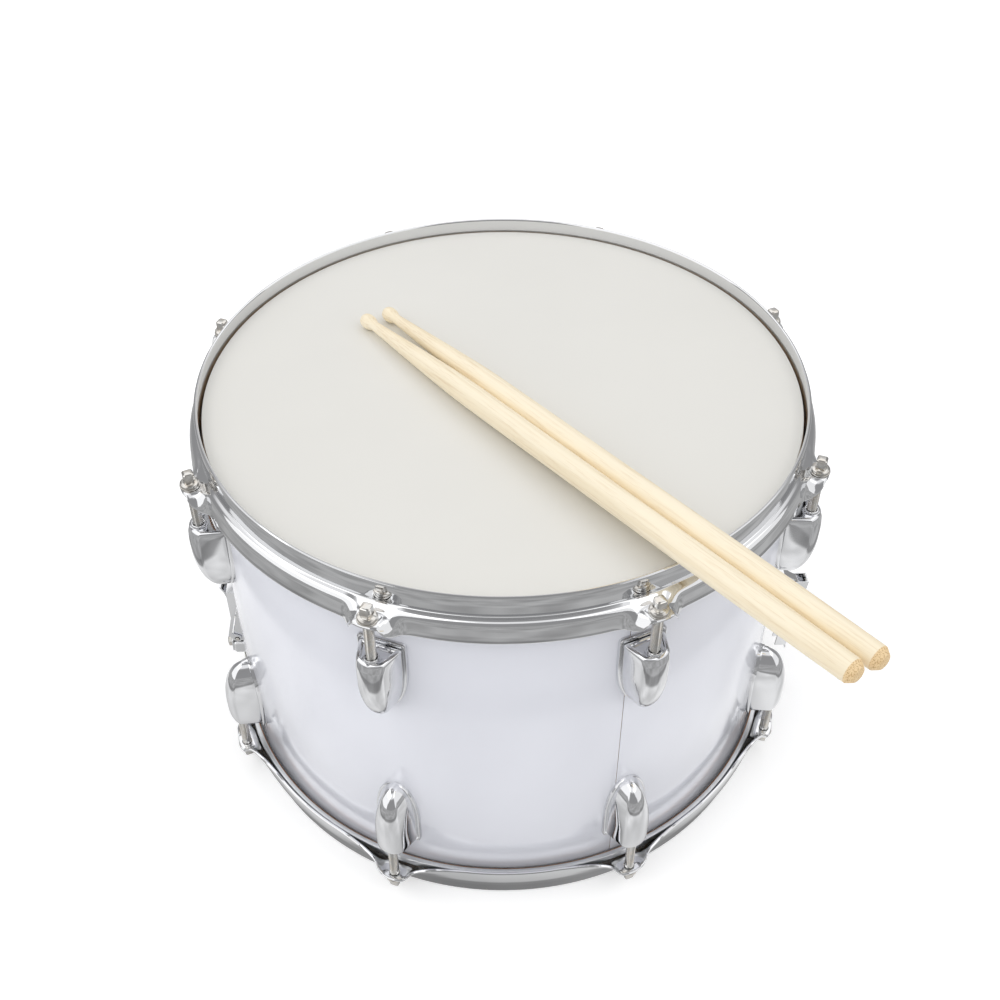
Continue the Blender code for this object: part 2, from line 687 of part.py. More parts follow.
def tension_rods():
    """A tension rod through each ear into its lug."""
    mesh = rod_mesh()
    for i, azimuth in enumerate(lug_azimuths()):
        for side, lower in (("batter", False), ("snare_side", True)):
            frame = side_matrix(azimuth, lower) @ Matrix.Translation((ROD_CIRCLE, 0, ROD_TOP))
            finish(f"{side}_tension_rod_{i + 1}", mesh, NICKEL, frame)


def strap_outline(inner_end, top):
    """Side view of a snare strap: in under the head, round a bend, and up outside the flesh hoop."""
    inner = STRAP_RADIUS - STRAP_THICKNESS / 2
    outer = STRAP_RADIUS + STRAP_THICKNESS / 2
    low, high = STRAP_BOTTOM, STRAP_BOTTOM + STRAP_THICKNESS
    centre = (inner - STRAP_BEND, high + STRAP_BEND)

    def bend(radius):
        angles = [math.radians(-90 + 30 * i) for i in range(4)]
        return [(centre[0] + radius * math.cos(a), centre[1] + radius * math.sin(a)) for a in angles]

    under = bend(STRAP_BEND + STRAP_THICKNESS)
    over = bend(STRAP_BEND)
    return [(inner_end, low), *under, (outer, top), (inner, top), *reversed(over), (inner_end, high)]


def snares():
    """Snare wires under the lower head, joined by their end plates, and the two straps."""
    wires = []
    for i in range(WIRE_COUNT):
        across = (i - (WIRE_COUNT - 1) / 2) * WIRE_PITCH
        frame = Matrix.Translation((0, across, WIRE_HEIGHT)) @ Matrix.Rotation(math.pi / 2, 4, "Y")
        wires.append((WIRE_RADIUS, WIRE_LENGTH, frame))
    bm = bmesh.new()
    size = Matrix.Diagonal((END_PLATE_LENGTH, END_PLATE_WIDTH, END_PLATE_THICKNESS, 1.0))
    for sign in (-1, 1):
        place = (sign * WIRE_LENGTH / 2, 0, END_PLATE_TOP - END_PLATE_THICKNESS / 2)
        bmesh.ops.create_cube(bm, size=1.0, matrix=Matrix.Translation(place) @ size)
    snare = finish("snare_wires", mesh_from(bm, "snare_wires"), SNARE_STEEL)
    cut(snare, finish("wires", rods_mesh("wires", wires, 6), None, cutter=True), "UNION")
    start = WIRE_LENGTH / 2 + 1.0 * MM
    strainer_top = STRAINER_BOTTOM + BLOCK_SLOT_DEPTH - GAP
    for name, azimuth, top in (
        ("strainer_strap", LEFT, strainer_top),
        ("butt_strap", RIGHT, BUTT_PAD_TOP),
    ):
        mesh = prism_mesh(name, strap_outline(start, top), STRAP_WIDTH)
        finish(name, mesh, STRAP_PLASTIC, side_matrix(azimuth))


def strainer():
    """Throw-off on the left: base with its wedge, lever on a pin, and the sliding strap clamp."""
    frame = side_matrix(LEFT)
    half = STRAINER_PLATE_WIDTH / 2
    low, high = (SEAT, -half, STRAINER_BOTTOM), (STRAINER_FACE, half, STRAINER_TOP)
    base = finish("strainer_base", box_mesh("strainer_base", low, high), CHROME, frame)
    root = STRAINER_FACE - 0.8 * MM
    wedge = [
        (root, WEDGE_BOTTOM),
        (SEAT + WEDGE_REACH, WEDGE_BOTTOM),
        (STRAINER_FACE + WEDGE_TIP, WEDGE_TOP),
        (root, WEDGE_TOP),
    ]
    cut(base, finish("wedge", prism_mesh("wedge", wedge, WEDGE_WIDTH), None, frame, True), "UNION")
    pivot = Matrix.Translation((LEVER_PIVOT_RADIUS, 0, LEVER_PIVOT_HEIGHT))
    across = pivot @ Matrix.Rotation(math.pi / 2, 4, "X")
    pin_hole = rods_mesh("pin_hole", [(PIN_RADIUS + 1.5 * GAP, 2 * STRAINER_PLATE_WIDTH, across)], 8)
    pin_cutter = finish("pin_hole", pin_hole, None, frame, True)
    cut(base, pin_cutter)
    screws = screw_mesh("strainer_screws", STRAINER_SCREWS, SEAT + SCREW_GRIP)
    cut(base, finish("strainer_screws", screws, None, frame, True), "UNION")
    strainer_lever(frame, pin_cutter)
    pin_length = WEDGE_WIDTH + 2 * GAP + 2 * LEVER_SHEET + 1.6 * MM
    pin = rods_mesh("strainer_pin", [(PIN_RADIUS, pin_length, Matrix.Rotation(math.pi / 2, 4, "X"))], 8)
    finish("strainer_pin", pin, NICKEL, frame @ pivot)
    strainer_clamp(frame)


def strainer_lever(frame, pin_cutter):
    """Channel-section lever, its flanges tapering to an ear round the pin and its top flared outward."""
    face = LEVER_FACE
    inner = WEDGE_WIDTH / 2 + GAP
    outer = inner + LEVER_SHEET

    def beside_wedge(height):
        share = (height - WEDGE_BOTTOM) / (WEDGE_TOP - WEDGE_BOTTOM)
        low, high = SEAT + WEDGE_REACH, STRAINER_FACE + WEDGE_TIP
        return (low + share * (high - low) + LEVER_GAP, height)

    def face_at(height):
        return (beside_wedge(height)[0] + LEVER_DEPTH, height)

    ear = []
    for i in range(5):
        angle = math.radians(100 + 45 * i)
        x = LEVER_PIVOT_RADIUS + LEVER_EAR * math.cos(angle)
        z = LEVER_PIVOT_HEIGHT + LEVER_EAR * math.sin(angle)
        ear.append((x, z))
    flange = [
        (face, LEVER_TOP - 6 * MM),
        (STRAINER_FACE + 1.4 * MM, LEVER_TOP - 7 * MM),
        beside_wedge(WEDGE_TOP),
        beside_wedge(LEVER_WEB_BOTTOM - 0.5 * MM),
        *ear,
        (LEVER_PIVOT_RADIUS + LEVER_EAR, LEVER_PIVOT_HEIGHT),
        face_at(LEVER_WEB_BOTTOM - 2 * MM),
        (face, LEVER_BEND),
    ]
    body = finish("strainer_lever", prism_mesh("strainer_lever", flange, 2 * outer), CHROME, frame)
    hollow = [
        (face - LEVER_SHEET, LEVER_TOP - 7.2 * MM),
        (SEAT - 10 * MM, LEVER_TOP - 8.2 * MM),
        (SEAT - 10 * MM, LEVER_PIVOT_HEIGHT - 10 * MM),
        (face + 10 * MM, LEVER_PIVOT_HEIGHT - 10 * MM),
        (face + 10 * MM, LEVER_WEB_BOTTOM),
        (face_at(LEVER_WEB_BOTTOM)[0] - LEVER_SHEET, LEVER_WEB_BOTTOM),
        (face - LEVER_SHEET, LEVER_BEND),
    ]
    cut(body, finish("lever_hollow", prism_mesh("lever_hollow", hollow, 2 * inner), None, frame, True))
    flare_low = LEVER_TOP - 12 * MM
    flare = []
    for height, x, half in (
        (flare_low, face, outer - 0.4 * MM),
        (LEVER_TOP - 5 * MM, face + 1.2 * MM, outer + 0.6 * MM),
        (LEVER_TOP, face + 3.3 * MM, outer + 1.2 * MM),
    ):
        flare.append(
            [
                (x, -half, height),
                (x, half, height),
                (x - LEVER_SHEET, half, height),
                (x - LEVER_SHEET, -half, height),
            ]
        )
    cut(body, finish("lever_flare", loft_mesh("lever_flare", flare), None, frame, True), "UNION")
    cut(body, pin_cutter)


def strainer_clamp(frame):
    """Block that slides down as the lever opens, with a slot for the strap, a front plate and a screw."""
    back = STRAINER_FACE + GAP
    half = BLOCK_WIDTH / 2
    low, high = (back, -half, STRAINER_BOTTOM), (BLOCK_FACE, half, BLOCK_TOP)
    block = finish("strainer_block", box_mesh("strainer_block", low, high), CHROME, frame)
    rounding = block.modifiers.new("rounding", "BEVEL")
    rounding.width = 1.2 * MM
    rounding.segments = 1
    slot_half = STRAP_WIDTH / 2 + 0.5 * MM
    slot_low = (STRAP_RADIUS - BLOCK_SLOT / 2, -slot_half, STRAINER_BOTTOM - 5 * MM)
    slot_high = (STRAP_RADIUS + BLOCK_SLOT / 2, slot_half, STRAINER_BOTTOM + BLOCK_SLOT_DEPTH)
    cut(block, finish("block_slot", box_mesh("block_slot", slot_low, slot_high), None, frame, True))
    screw_height = STRAINER_BOTTOM + CLAMP_KNOB_RISE
    plate_back = BLOCK_FACE + GAP
    plate_front = plate_back + CLAMP_PLATE
    plate_low = (plate_back, -half + 2 * MM, STRAINER_BOTTOM + 0.5 * MM)
    plate_high = (plate_front, half - 2 * MM, BLOCK_TOP)
    plate_mesh = box_mesh("strainer_clamp_plate", plate_low, plate_high)
    plate = finish("strainer_clamp_plate", plate_mesh, CHROME, frame)
    start, end = STRAP_RADIUS, plate_front + 5 * MM
    hole = [(CLAMP_SCREW_RADIUS + 1.5 * GAP, end - start, radial((start + end) / 2, 0, screw_height))]
    hole_cutter = finish("clamp_hole", rods_mesh("clamp_hole", hole, 8), None, frame, True)
    cut(block, hole_cutter)
    cut(plate, hole_cutter)
    tip = STRAP_RADIUS + STRAP_THICKNESS / 2 + GAP
    clamp_screw("strainer_clamp_screw", (0, screw_height), (tip, plate_front + GAP), frame, CLAMP_KNOB)


def clamp_screw(name, place, reach, frame, head=CLAMP_SCREW_HEAD):
    """Pan-headed screw driven inward at (across, height), from its tip to the radius under its head."""
    across, height = place
    tip, under = reach
    stations = (
        (0.8 * head, under + 0.7 * head),
        (head, under + 0.5 * head),
        (head, under),
        (CLAMP_SCREW_RADIUS, under),
        (CLAMP_SCREW_RADIUS, tip),
    )
    rings = []
    for radius, along in stations:
        angles = [math.radians(22.5 + 45 * i) for i in range(8)]
        places = [Vector((radius * math.cos(a), radius * math.sin(a), 0)) for a in angles]
        rings.append([radial(along, across, height) @ point for point in places])
    finish(name, loft_mesh(name, rings), NICKEL, frame)


def butt():
    """Fixed end of the snares on the right: base with pad and post, clamp bar, and channel guard."""
    frame = side_matrix(RIGHT)
    half = STRAINER_PLATE_WIDTH / 2
    low, high = (SEAT, -half, BUTT_PLATE_BOTTOM), (STRAINER_FACE, half, BUTT_PLATE_TOP)
    base = finish("butt_base", box_mesh("butt_base", low, high), CHROME, frame)
    root = STRAINER_FACE - 0.8 * MM
    pad_face = STRAP_RADIUS - STRAP_THICKNESS / 2 - GAP
    pad_low = (root, -BUTT_PAD_WIDTH / 2, BUTT_PAD_BOTTOM)
    pad_high = (pad_face, BUTT_PAD_WIDTH / 2, BUTT_PAD_TOP)
    cut(base, finish("butt_pad", box_mesh("butt_pad", pad_low, pad_high), None, frame, True), "UNION")

    def face_at(height):
        share = (height - CHANNEL_BOTTOM) / (CHANNEL_TOP - CHANNEL_BOTTOM)
        return CHANNEL_BOTTOM_RADIUS + share * (CHANNEL_TOP_RADIUS - CHANNEL_BOTTOM_RADIUS)

    reach = CHANNEL_SHEET + 1.2 * GAP
    post = [
        (root, BUTT_POST_BOTTOM),
        (face_at(BUTT_POST_BOTTOM) - reach, BUTT_POST_BOTTOM),
        (face_at(BUTT_POST_SHOULDER) - reach, BUTT_POST_SHOULDER),
        (BUTT_POST_CREST, BUTT_POST_TOP),
        (root, BUTT_POST_TOP),
    ]
    cut(base, finish("butt_post", prism_mesh("butt_post", post, BUTT_POST_WIDTH), None, frame, True), "UNION")
    screws = screw_mesh("butt_screws", BUTT_SCREWS, SEAT + SCREW_GRIP)
    cut(base, finish("butt_screws", screws, None, frame, True), "UNION")
    butt_clamp(frame, base)
    foot_back = CHANNEL_BOTTOM_RADIUS - 0.6 * CHANNEL_SHEET
    channel = [
        (CHANNEL_BOTTOM_RADIUS - CHANNEL_BOTTOM_DEPTH, CHANNEL_BOTTOM),
        (foot_back, CHANNEL_BOTTOM),
        (foot_back, CHANNEL_BOTTOM - CHANNEL_FOOT),
        (CHANNEL_BOTTOM_RADIUS + 0.6 * MM, CHANNEL_BOTTOM - CHANNEL_FOOT),
        (CHANNEL_BOTTOM_RADIUS + 0.1 * MM, CHANNEL_BOTTOM + 0.8 * MM),
        (CHANNEL_TOP_RADIUS, CHANNEL_TOP),
        (CHANNEL_TOP_RADIUS - CHANNEL_TOP_DEPTH, CHANNEL_TOP),
    ]
    body = finish("butt_channel", prism_mesh("butt_channel", channel, CHANNEL_WIDTH), CHROME, frame)
    over = 5 * MM
    hollow = [
        (STRAINER_FACE, CHANNEL_BOTTOM - over),
        (face_at(CHANNEL_BOTTOM - over) - CHANNEL_SHEET, CHANNEL_BOTTOM - over),
        (face_at(CHANNEL_TOP + over) - CHANNEL_SHEET, CHANNEL_TOP + over),
        (STRAINER_FACE, CHANNEL_TOP + over),
    ]
    inside = CHANNEL_WIDTH - 2 * CHANNEL_SHEET
    cut(body, finish("channel_hollow", prism_mesh("channel_hollow", hollow, inside), None, frame, True))


def butt_clamp(frame, base):
    """Bar that presses the strap on the pad, and its two screws."""
    back = BUTT_BAR_BACK
    front = back + BUTT_BAR
    low = (back, -BUTT_PAD_WIDTH / 2, BUTT_PAD_BOTTOM + 1 * MM)
    high = (front, BUTT_PAD_WIDTH / 2, BUTT_PAD_TOP - 1 * MM)
    bar = finish("butt_clamp_bar", box_mesh("butt_clamp_bar", low, high), CHROME, frame)
    height = (BUTT_PAD_BOTTOM + BUTT_PAD_TOP) / 2
    spread = STRAP_WIDTH / 2 + CLAMP_SCREW_RADIUS + 1.2 * MM
    tip = STRAP_RADIUS - STRAP_THICKNESS / 2 - GAP - 2.2 * MM
    holes = []
    for name, across in (("butt_clamp_screw_front", -spread), ("butt_clamp_screw_back", spread)):
        start, end = tip - GAP, front + 5 * MM
        holes.append((CLAMP_SCREW_RADIUS + 1.5 * GAP, end - start, radial((start + end) / 2, across, height)))
        clamp_screw(name, (across, height), (tip, front + GAP), frame)
    cutter = finish("butt_clamp_holes", rods_mesh("butt_clamp_holes", holes, 8), None, frame, True)
    cut(bar, cutter)
    cut(base, cutter)


def stick_profile():
    """Half outline of a stick from the end of its tip down to its butt."""
    top = STICK_LENGTH
    return [
        (0, top),
        (0.55 * STICK_TIP, top - 0.4 * MM),
        (0.92 * STICK_TIP, top - 0.25 * STICK_TIP_LENGTH),
        (STICK_TIP, top - 0.5 * STICK_TIP_LENGTH),
        (STICK_NECK, top - STICK_TIP_LENGTH),
        (STICK_NECK + 0.45 * (STICK_RADIUS - STICK_NECK), top - STICK_TIP_LENGTH - 0.3 * STICK_TAPER),
        (STICK_NECK + 0.82 * (STICK_RADIUS - STICK_NECK), top - STICK_TIP_LENGTH - 0.62 * STICK_TAPER),
        (STICK_RADIUS, top - STICK_TIP_LENGTH - STICK_TAPER),
        (STICK_RADIUS, STICK_BUTT_TAPER),
        (STICK_BUTT, 3.6 * MM),
        (0.62 * STICK_BUTT, 0.3 * MM),
        (0.3 * STICK_BUTT, 0),
        (0, 0),
    ]


def sticks():
    """Two sticks side by side, each tip on the batter head and each shaft on the rim."""
    heading = math.radians(STICK_HEADING)
    along = Vector((math.cos(heading), math.sin(heading), 0))
    across = Vector((-math.sin(heading), math.cos(heading), 0))
    rim = HOOP_INNER + HOOP_STEEL
    tip_middle = STICK_LENGTH - 0.5 * STICK_TIP_LENGTH
    for i, sign in enumerate((-1, 1)):
        offset = STICK_CROSSING + sign * STICK_SPACING / 2
        tip_at = -STICK_TIP_ALONG + sign * STICK_STAGGER / 2
        rim_at = math.sqrt(rim**2 - offset**2) - HOOP_STEEL
        run = rim_at - tip_at
        low = FILM_TOP + STICK_TIP + GAP
        climb = math.asin((DRUM_HEIGHT + STICK_RADIUS + 1.5 * GAP - low) / run)
        direction = (along * math.cos(climb) + Vector((0, 0, math.sin(climb)))).normalized()
        rest = across * offset + along * tip_at + Vector((0, 0, low))
        butt_end = rest + direction * tip_middle
        matrix = Matrix.Translation(butt_end) @ (-direction).to_track_quat("Z", "Y").to_matrix().to_4x4()
        turned(f"stick_{i + 1}", stick_profile(), MAPLE, matrix, steps=STICK_FACETS)


def main():
    """Build the drum."""
    shell_and_wrap()
    heads()
    hoops()
    lugs()
    tension_rods()
    snares()
    strainer()
    butt()
    sticks()


main()
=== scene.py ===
"""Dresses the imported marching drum: its finished pieces, finishes, studio and camera.

Lengths are in metres and written in millimetres times MM. The origin is the centre of the bottom rim,
+Z is up, the front of the drum faces -Y and the snare strainer is at -X.
"""

import bisect
import logging
import math
from dataclasses import dataclass
from enum import Enum
from typing import Callable, Iterable, Optional, Sequence

import bmesh
import bpy
from mathutils import Matrix, Vector


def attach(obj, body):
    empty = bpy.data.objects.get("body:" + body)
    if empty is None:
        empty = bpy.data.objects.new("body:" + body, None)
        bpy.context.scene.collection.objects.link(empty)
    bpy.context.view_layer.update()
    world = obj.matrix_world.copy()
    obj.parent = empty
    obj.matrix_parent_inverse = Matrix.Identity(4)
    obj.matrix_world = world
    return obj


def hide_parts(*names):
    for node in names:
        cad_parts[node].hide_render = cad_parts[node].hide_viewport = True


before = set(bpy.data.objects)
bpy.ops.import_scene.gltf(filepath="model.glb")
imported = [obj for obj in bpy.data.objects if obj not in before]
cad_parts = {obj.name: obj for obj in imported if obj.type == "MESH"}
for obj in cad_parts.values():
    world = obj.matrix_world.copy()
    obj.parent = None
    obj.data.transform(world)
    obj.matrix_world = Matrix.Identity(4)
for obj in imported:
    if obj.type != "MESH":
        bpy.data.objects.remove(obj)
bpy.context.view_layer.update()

LOG = logging.getLogger("marching_drum")
MM = 0.001
Colour = tuple[float, float, float]
Point = tuple[float, float]
Ring = list[Vector]
FLOOR_SIZE = 8.0


class Head(Enum):
    """The two ends of the drum."""

    BATTER = "batter"
    SNARE_SIDE = "snare_side"

    @property
    def lower(self) -> bool:
        """Whether this end is turned over."""
        return self is Head.SNARE_SIDE


class Direction(Enum):
    """Angles about the drum's axis, counted from +X."""

    RIGHT = 0.0
    BACK = math.pi / 2
    LEFT = math.pi
    FRONT = -math.pi / 2


@dataclass(frozen=True)
class DrumSizes:
    """Sizes that several sub-assemblies share."""

    height: float = 269.0 * MM
    wrap_radius: float = 177.8 * MM
    shell_radius: float = 177.0 * MM
    shell_inner: float = 171.3 * MM
    shell_bottom: float = 9.5 * MM
    shell_top: float = 259.5 * MM
    film_top: float = 260.3 * MM
    film_underside: float = 259.8 * MM
    seat: float = 177.72 * MM
    inner_seat: float = 170.63 * MM
    rod_circle: float = 190.5 * MM
    steel: float = 2.2 * MM
    rim_radius: float = 180.4 * MM
    lug_count: int = 8

    def side_matrix(self, azimuth: float, head: Head = Head.BATTER) -> Matrix:
        """Carry the +X side of the upper half to an azimuth, turned over for the lower half."""
        turned = Matrix.Rotation(azimuth, 4, "Z")
        if head.lower:
            turned = turned @ Matrix.Translation((0, 0, self.height)) @ Matrix.Rotation(math.pi, 4, "X")
        return turned

    def lug_azimuths(self) -> list[float]:
        """Angles of the lugs about the axis."""
        step = 2 * math.pi / self.lug_count
        return [Direction.FRONT.value + step * (i + 0.5) for i in range(self.lug_count)]


DRUM = DrumSizes()


# Mesh helpers


def clamp(value: float) -> float:
    """Keep a share between 0 and 1."""
    return min(1.0, max(0.0, value))


def ease(share: float) -> float:
    """Smooth step from 0 to 1."""
    t = clamp(share)
    return t * t * (3 - 2 * t)


def monotone(stations: Sequence[tuple[float, float]], place: float) -> float:
    """Value at a place on a smooth curve through stations, which never overshoots them."""
    places = [at for at, _ in stations]
    rises = [(b[1] - a[1]) / (b[0] - a[0]) for a, b in zip(stations, stations[1:])]
    slopes = [rises[0]]
    for before, after in zip(rises, rises[1:]):
        slopes.append(0.0 if before * after <= 0 else 2 * before * after / (before + after))
    slopes.append(rises[-1])
    k = min(max(bisect.bisect_right(places, place) - 1, 0), len(rises) - 1)
    width = places[k + 1] - places[k]
    t = clamp((place - places[k]) / width)
    low, high = stations[k][1], stations[k + 1][1]
    bend = slopes[k] * (t**3 - 2 * t**2 + t) + slopes[k + 1] * (t**3 - t**2)
    return low + (high - low) * (3 * t**2 - 2 * t**3) + width * bend


def corner_curve(
    before: Vector, corner: Vector, after: Vector, cut: float, steps: int, cut_after: Optional[float] = None
) -> list[Vector]:
    """Round a corner of a path with a curve that starts and ends a cut length from it.

    Args:
        before: the point before the corner.
        corner: the corner itself.
        after: the point after the corner.
        cut: how far from the corner the curve starts.
        steps: how many straight pieces the curve has.
        cut_after: how far from the corner the curve ends, if that differs.

    Returns:
        The curve's points in order.
    """
    start = corner + (before - corner).normalized() * min(cut, (before - corner).length / 2)
    end = corner + (after - corner).normalized() * min(cut_after or cut, (after - corner).length / 2)
    shares = [i / steps for i in range(steps + 1)]
    return [(1 - t) ** 2 * start + 2 * t * (1 - t) * corner + t * t * end for t in shares]


def rounded(corners: Sequence[tuple[float, float, float]], steps: int = 4) -> list[Vector]:
    """Make a closed outline from corners given as (across, up, cut length of its rounding)."""
    points = [Vector((x, y)) for x, y, _ in corners]
    outline: list[Vector] = []
    for i, (_, _, cut) in enumerate(corners):
        if cut <= 0:
            outline.append(points[i])
            continue
        after = points[(i + 1) % len(points)]
        outline += corner_curve(points[i - 1], points[i], after, cut, steps)
    return outline


def inset(outline: Sequence[Vector], distance: float) -> list[Vector]:
    """Move a closed outline that runs anticlockwise inward by a distance."""
    moved = []
    count = len(outline)
    for i, point in enumerate(outline):
        before = (point - outline[i - 1]).normalized()
        after = (outline[(i + 1) % count] - point).normalized()
        normal = Vector((-(before.y + after.y), before.x + after.x))
        if normal.length < 1e-6:
            moved.append(point.copy())
            continue
        normal.normalize()
        lean = max(0.5, normal.dot(Vector((-before.y, before.x))))
        moved.append(point + normal * (distance / lean))
    return moved


def through(stations: Sequence[Point], steps: int) -> list[Point]:
    """Run a smooth curve through stations.

    Args:
        stations: the points that the curve passes.
        steps: how many straight pieces each stretch is given.

    Returns:
        The points of the curve, ends included.
    """
    ends = [stations[0], *stations, stations[-1]]
    curve: list[Point] = []
    for i in range(1, len(ends) - 2):
        a, b, c, d = (Vector(point) for point in ends[i - 1 : i + 3])
        for k in range(steps):
            t = k / steps
            even = 2 * b + (c - a) * t + (2 * a - 5 * b + 4 * c - d) * t**2 + (3 * b - a - 3 * c + d) * t**3
            curve.append(tuple(even / 2))
    curve.append(tuple(stations[-1]))
    return curve


def skin(bm: bmesh.types.BMesh, rings: Sequence[Ring], path_closed: bool = False, caps: bool = True) -> None:
    """Join closed rings that have the same number of points into a surface.

    Args:
        bm: the mesh under construction.
        rings: the rings in order.
        path_closed: whether the last ring joins the first.
        caps: whether an open path gets a face at each end.
    """
    loops = [[bm.verts.new(point) for point in ring] for ring in rings]
    count = len(loops[0])
    for i in range(len(loops) if path_closed else len(loops) - 1):
        near, far = loops[i], loops[(i + 1) % len(loops)]
        for j in range(count):
            k = (j + 1) % count
            bm.faces.new((near[j], near[k], far[k], far[j]))
    if caps and not path_closed:
        bm.faces.new(loops[0])
        bm.faces.new(loops[-1])


def closed_mesh(name: str, build: Callable[[bmesh.types.BMesh], None]) -> bpy.types.Mesh:
    """Run a builder on an empty bmesh, weld it and turn its faces outward."""
    bm = bmesh.new()
    build(bm)
    bmesh.ops.remove_doubles(bm, verts=bm.verts, dist=0.000002)
    bmesh.ops.dissolve_degenerate(bm, edges=bm.edges, dist=0.000001)
    bmesh.ops.recalc_face_normals(bm, faces=bm.faces)
    mesh = bpy.data.meshes.new(name)
    bm.to_mesh(mesh)
    bm.free()
    return mesh


def turn(bm: bmesh.types.BMesh, outline: Iterable[Vector], steps: int, frame_of: Optional[Matrix] = None) -> None:
    """Turn a closed outline of (radius, height) about the Z axis of a frame."""
    place = frame_of or Matrix.Identity(4)
    points = list(outline)
    rings = []
    for i in range(steps):
        around = place @ Matrix.Rotation(2 * math.pi * i / steps, 4, "Z")
        rings.append([around @ Vector((p.x, 0, p.y)) for p in points])
    skin(bm, rings, path_closed=True)


def radial(radius: float, tangent: float, height: float) -> Matrix:
    """Frame at a radius on the +X side whose own Z points outward."""
    return Matrix.Translation((radius, tangent, height)) @ Matrix.Rotation(math.pi / 2, 4, "Y")


def carve(thing: bpy.types.Object, cutters: Iterable[bpy.types.Mesh]) -> None:
    """Cut meshes out of an object that isn't on a body yet, and keep the result as its mesh."""
    for mesh in cutters:
        tool = bpy.data.objects.new("tool", mesh)
        bpy.context.scene.collection.objects.link(tool)
        step = thing.modifiers.new("cut", "BOOLEAN")
        step.object = tool
        step.operation = "DIFFERENCE"
        bpy.context.view_layer.update()
        graph = bpy.context.evaluated_depsgraph_get()
        result = bpy.data.meshes.new_from_object(thing.evaluated_get(graph))
        thing.modifiers.clear()
        thing.data = result
        bpy.data.objects.remove(tool)


# Finishes


class Graph:
    """Nodes of one material, ending in its Principled shader."""

    def __init__(self, name: str) -> None:
        """Start a material with an untouched shader."""
        self.material = bpy.data.materials.new(name)
        self.material.use_nodes = True
        self.tree = self.material.node_tree
        self.shader = self.tree.nodes["Principled BSDF"]

    def set(self, **values: object) -> None:
        """Set sockets of the shader, named with underscores for spaces."""
        for name, value in values.items():
            self.shader.inputs[name.replace("_", " ")].default_value = value

    def node(self, kind: str, **values: object) -> bpy.types.Node:
        """Add a node, setting its properties, or its sockets where it has no such property."""
        made = self.tree.nodes.new(kind)
        for name, value in values.items():
            if hasattr(made, name):
                setattr(made, name, value)
            else:
                made.inputs[name.replace("_", " ")].default_value = value
        return made

    def link(self, source: bpy.types.NodeSocket, target: bpy.types.NodeSocket) -> None:
        """Join an output to an input."""
        self.tree.links.new(source, target)

    def place(self, scale: Sequence[float] = (1, 1, 1)) -> bpy.types.NodeSocket:
        """Give the point on the object in metres, stretched by a scale."""
        coordinates = self.node("ShaderNodeTexCoord")
        mapping = self.node("ShaderNodeMapping")
        mapping.inputs["Scale"].default_value = scale
        self.link(coordinates.outputs["Object"], mapping.inputs["Vector"])
        return mapping.outputs["Vector"]

    def noise(self, scale: float, stretch: Sequence[float] = (1, 1, 1), detail: float = 3.0, **more: float) -> bpy.types.NodeSocket:
        """Add a noise pattern with a scale in features per metre."""
        made = self.node("ShaderNodeTexNoise", Scale=scale, Detail=detail, **more)
        self.link(self.place(stretch), made.inputs["Vector"])
        return made.outputs["Fac"]

    def ramp(self, source: bpy.types.NodeSocket, stops: Sequence[tuple[float, Colour]]) -> bpy.types.NodeSocket:
        """Turn a value into a colour."""
        made = self.node("ShaderNodeValToRGB")
        elements = made.color_ramp.elements
        while len(elements) < len(stops):
            elements.new(0.5)
        for element, (position, colour) in zip(elements, stops):
            element.position = position
            element.color = (*colour, 1.0)
        self.link(source, made.inputs["Fac"])
        return made.outputs["Color"]

    def range(self, source: bpy.types.NodeSocket, low: float, high: float, ends: Point = (0.0, 1.0)) -> bpy.types.NodeSocket:
        """Map a value from one range onto another, clamped."""
        made = self.node("ShaderNodeMapRange", From_Min=ends[0], From_Max=ends[1], To_Min=low, To_Max=high)
        self.link(source, made.inputs["Value"])
        return made.outputs["Result"]

    def bump(self, source: bpy.types.NodeSocket, depth: float, strength: float = 1.0) -> None:
        """Raise the surface by a pattern, on top of the bumps that it already has."""
        made = self.node("ShaderNodeBump", Strength=strength, Distance=depth)
        self.link(source, made.inputs["Height"])
        target = self.shader.inputs["Normal"]
        if target.links:
            self.link(target.links[0].from_socket, made.inputs["Normal"])
        self.link(made.outputs["Normal"], target)


def shade(colour: Colour, share: float) -> Colour:
    """Lighten or darken a colour by a share."""
    return tuple(channel * share for channel in colour)


@dataclass(frozen=True)
class Finish:
    """A surface finish that makes its material once."""

    name: str
    colour: Colour
    roughness: float

    def material(self) -> bpy.types.Material:
        """Give the material, making it on the first call."""
        return bpy.data.materials.get(self.name) or self.make()

    def make(self) -> bpy.types.Material:
        """Make the material."""
        graph = Graph(self.name)
        graph.set(Base_Color=(*self.colour, 1.0), Roughness=self.roughness)
        self.dress(graph)
        return graph.material

    def dress(self, graph: Graph) -> None:
        """Add what this finish shows."""


@dataclass(frozen=True)
class PlatedFinish(Finish):
    """Plated metal: mirror-like, with faint haze, polishing marks and the wave of the metal under it."""

    haze: float = 0.04
    wave: float = 0.02 * MM
    tint: Colour = (0.0, 0.0, 0.0)

    def dress(self, graph: Graph) -> None:
        """Vary the haze and tint in patches, and let the metal wave a little."""
        graph.set(Metallic=1.0)
        patches = graph.noise(90.0, detail=4.0)
        graph.link(graph.range(patches, self.roughness, self.roughness + self.haze, (0.35, 0.7)), graph.shader.inputs["Roughness"])
        warm = tuple(c + t for c, t in zip(self.colour, self.tint))
        stained = graph.ramp(graph.noise(240.0, detail=2.0), [(0.35, self.colour), (0.75, warm)])
        graph.link(stained, graph.shader.inputs["Base Color"])
        graph.bump(graph.noise(55.0, detail=1.0), self.wave, 0.5)
        graph.bump(graph.noise(2500.0, (1, 1, 0.15), detail=2.0), 0.002 * MM, 0.3)


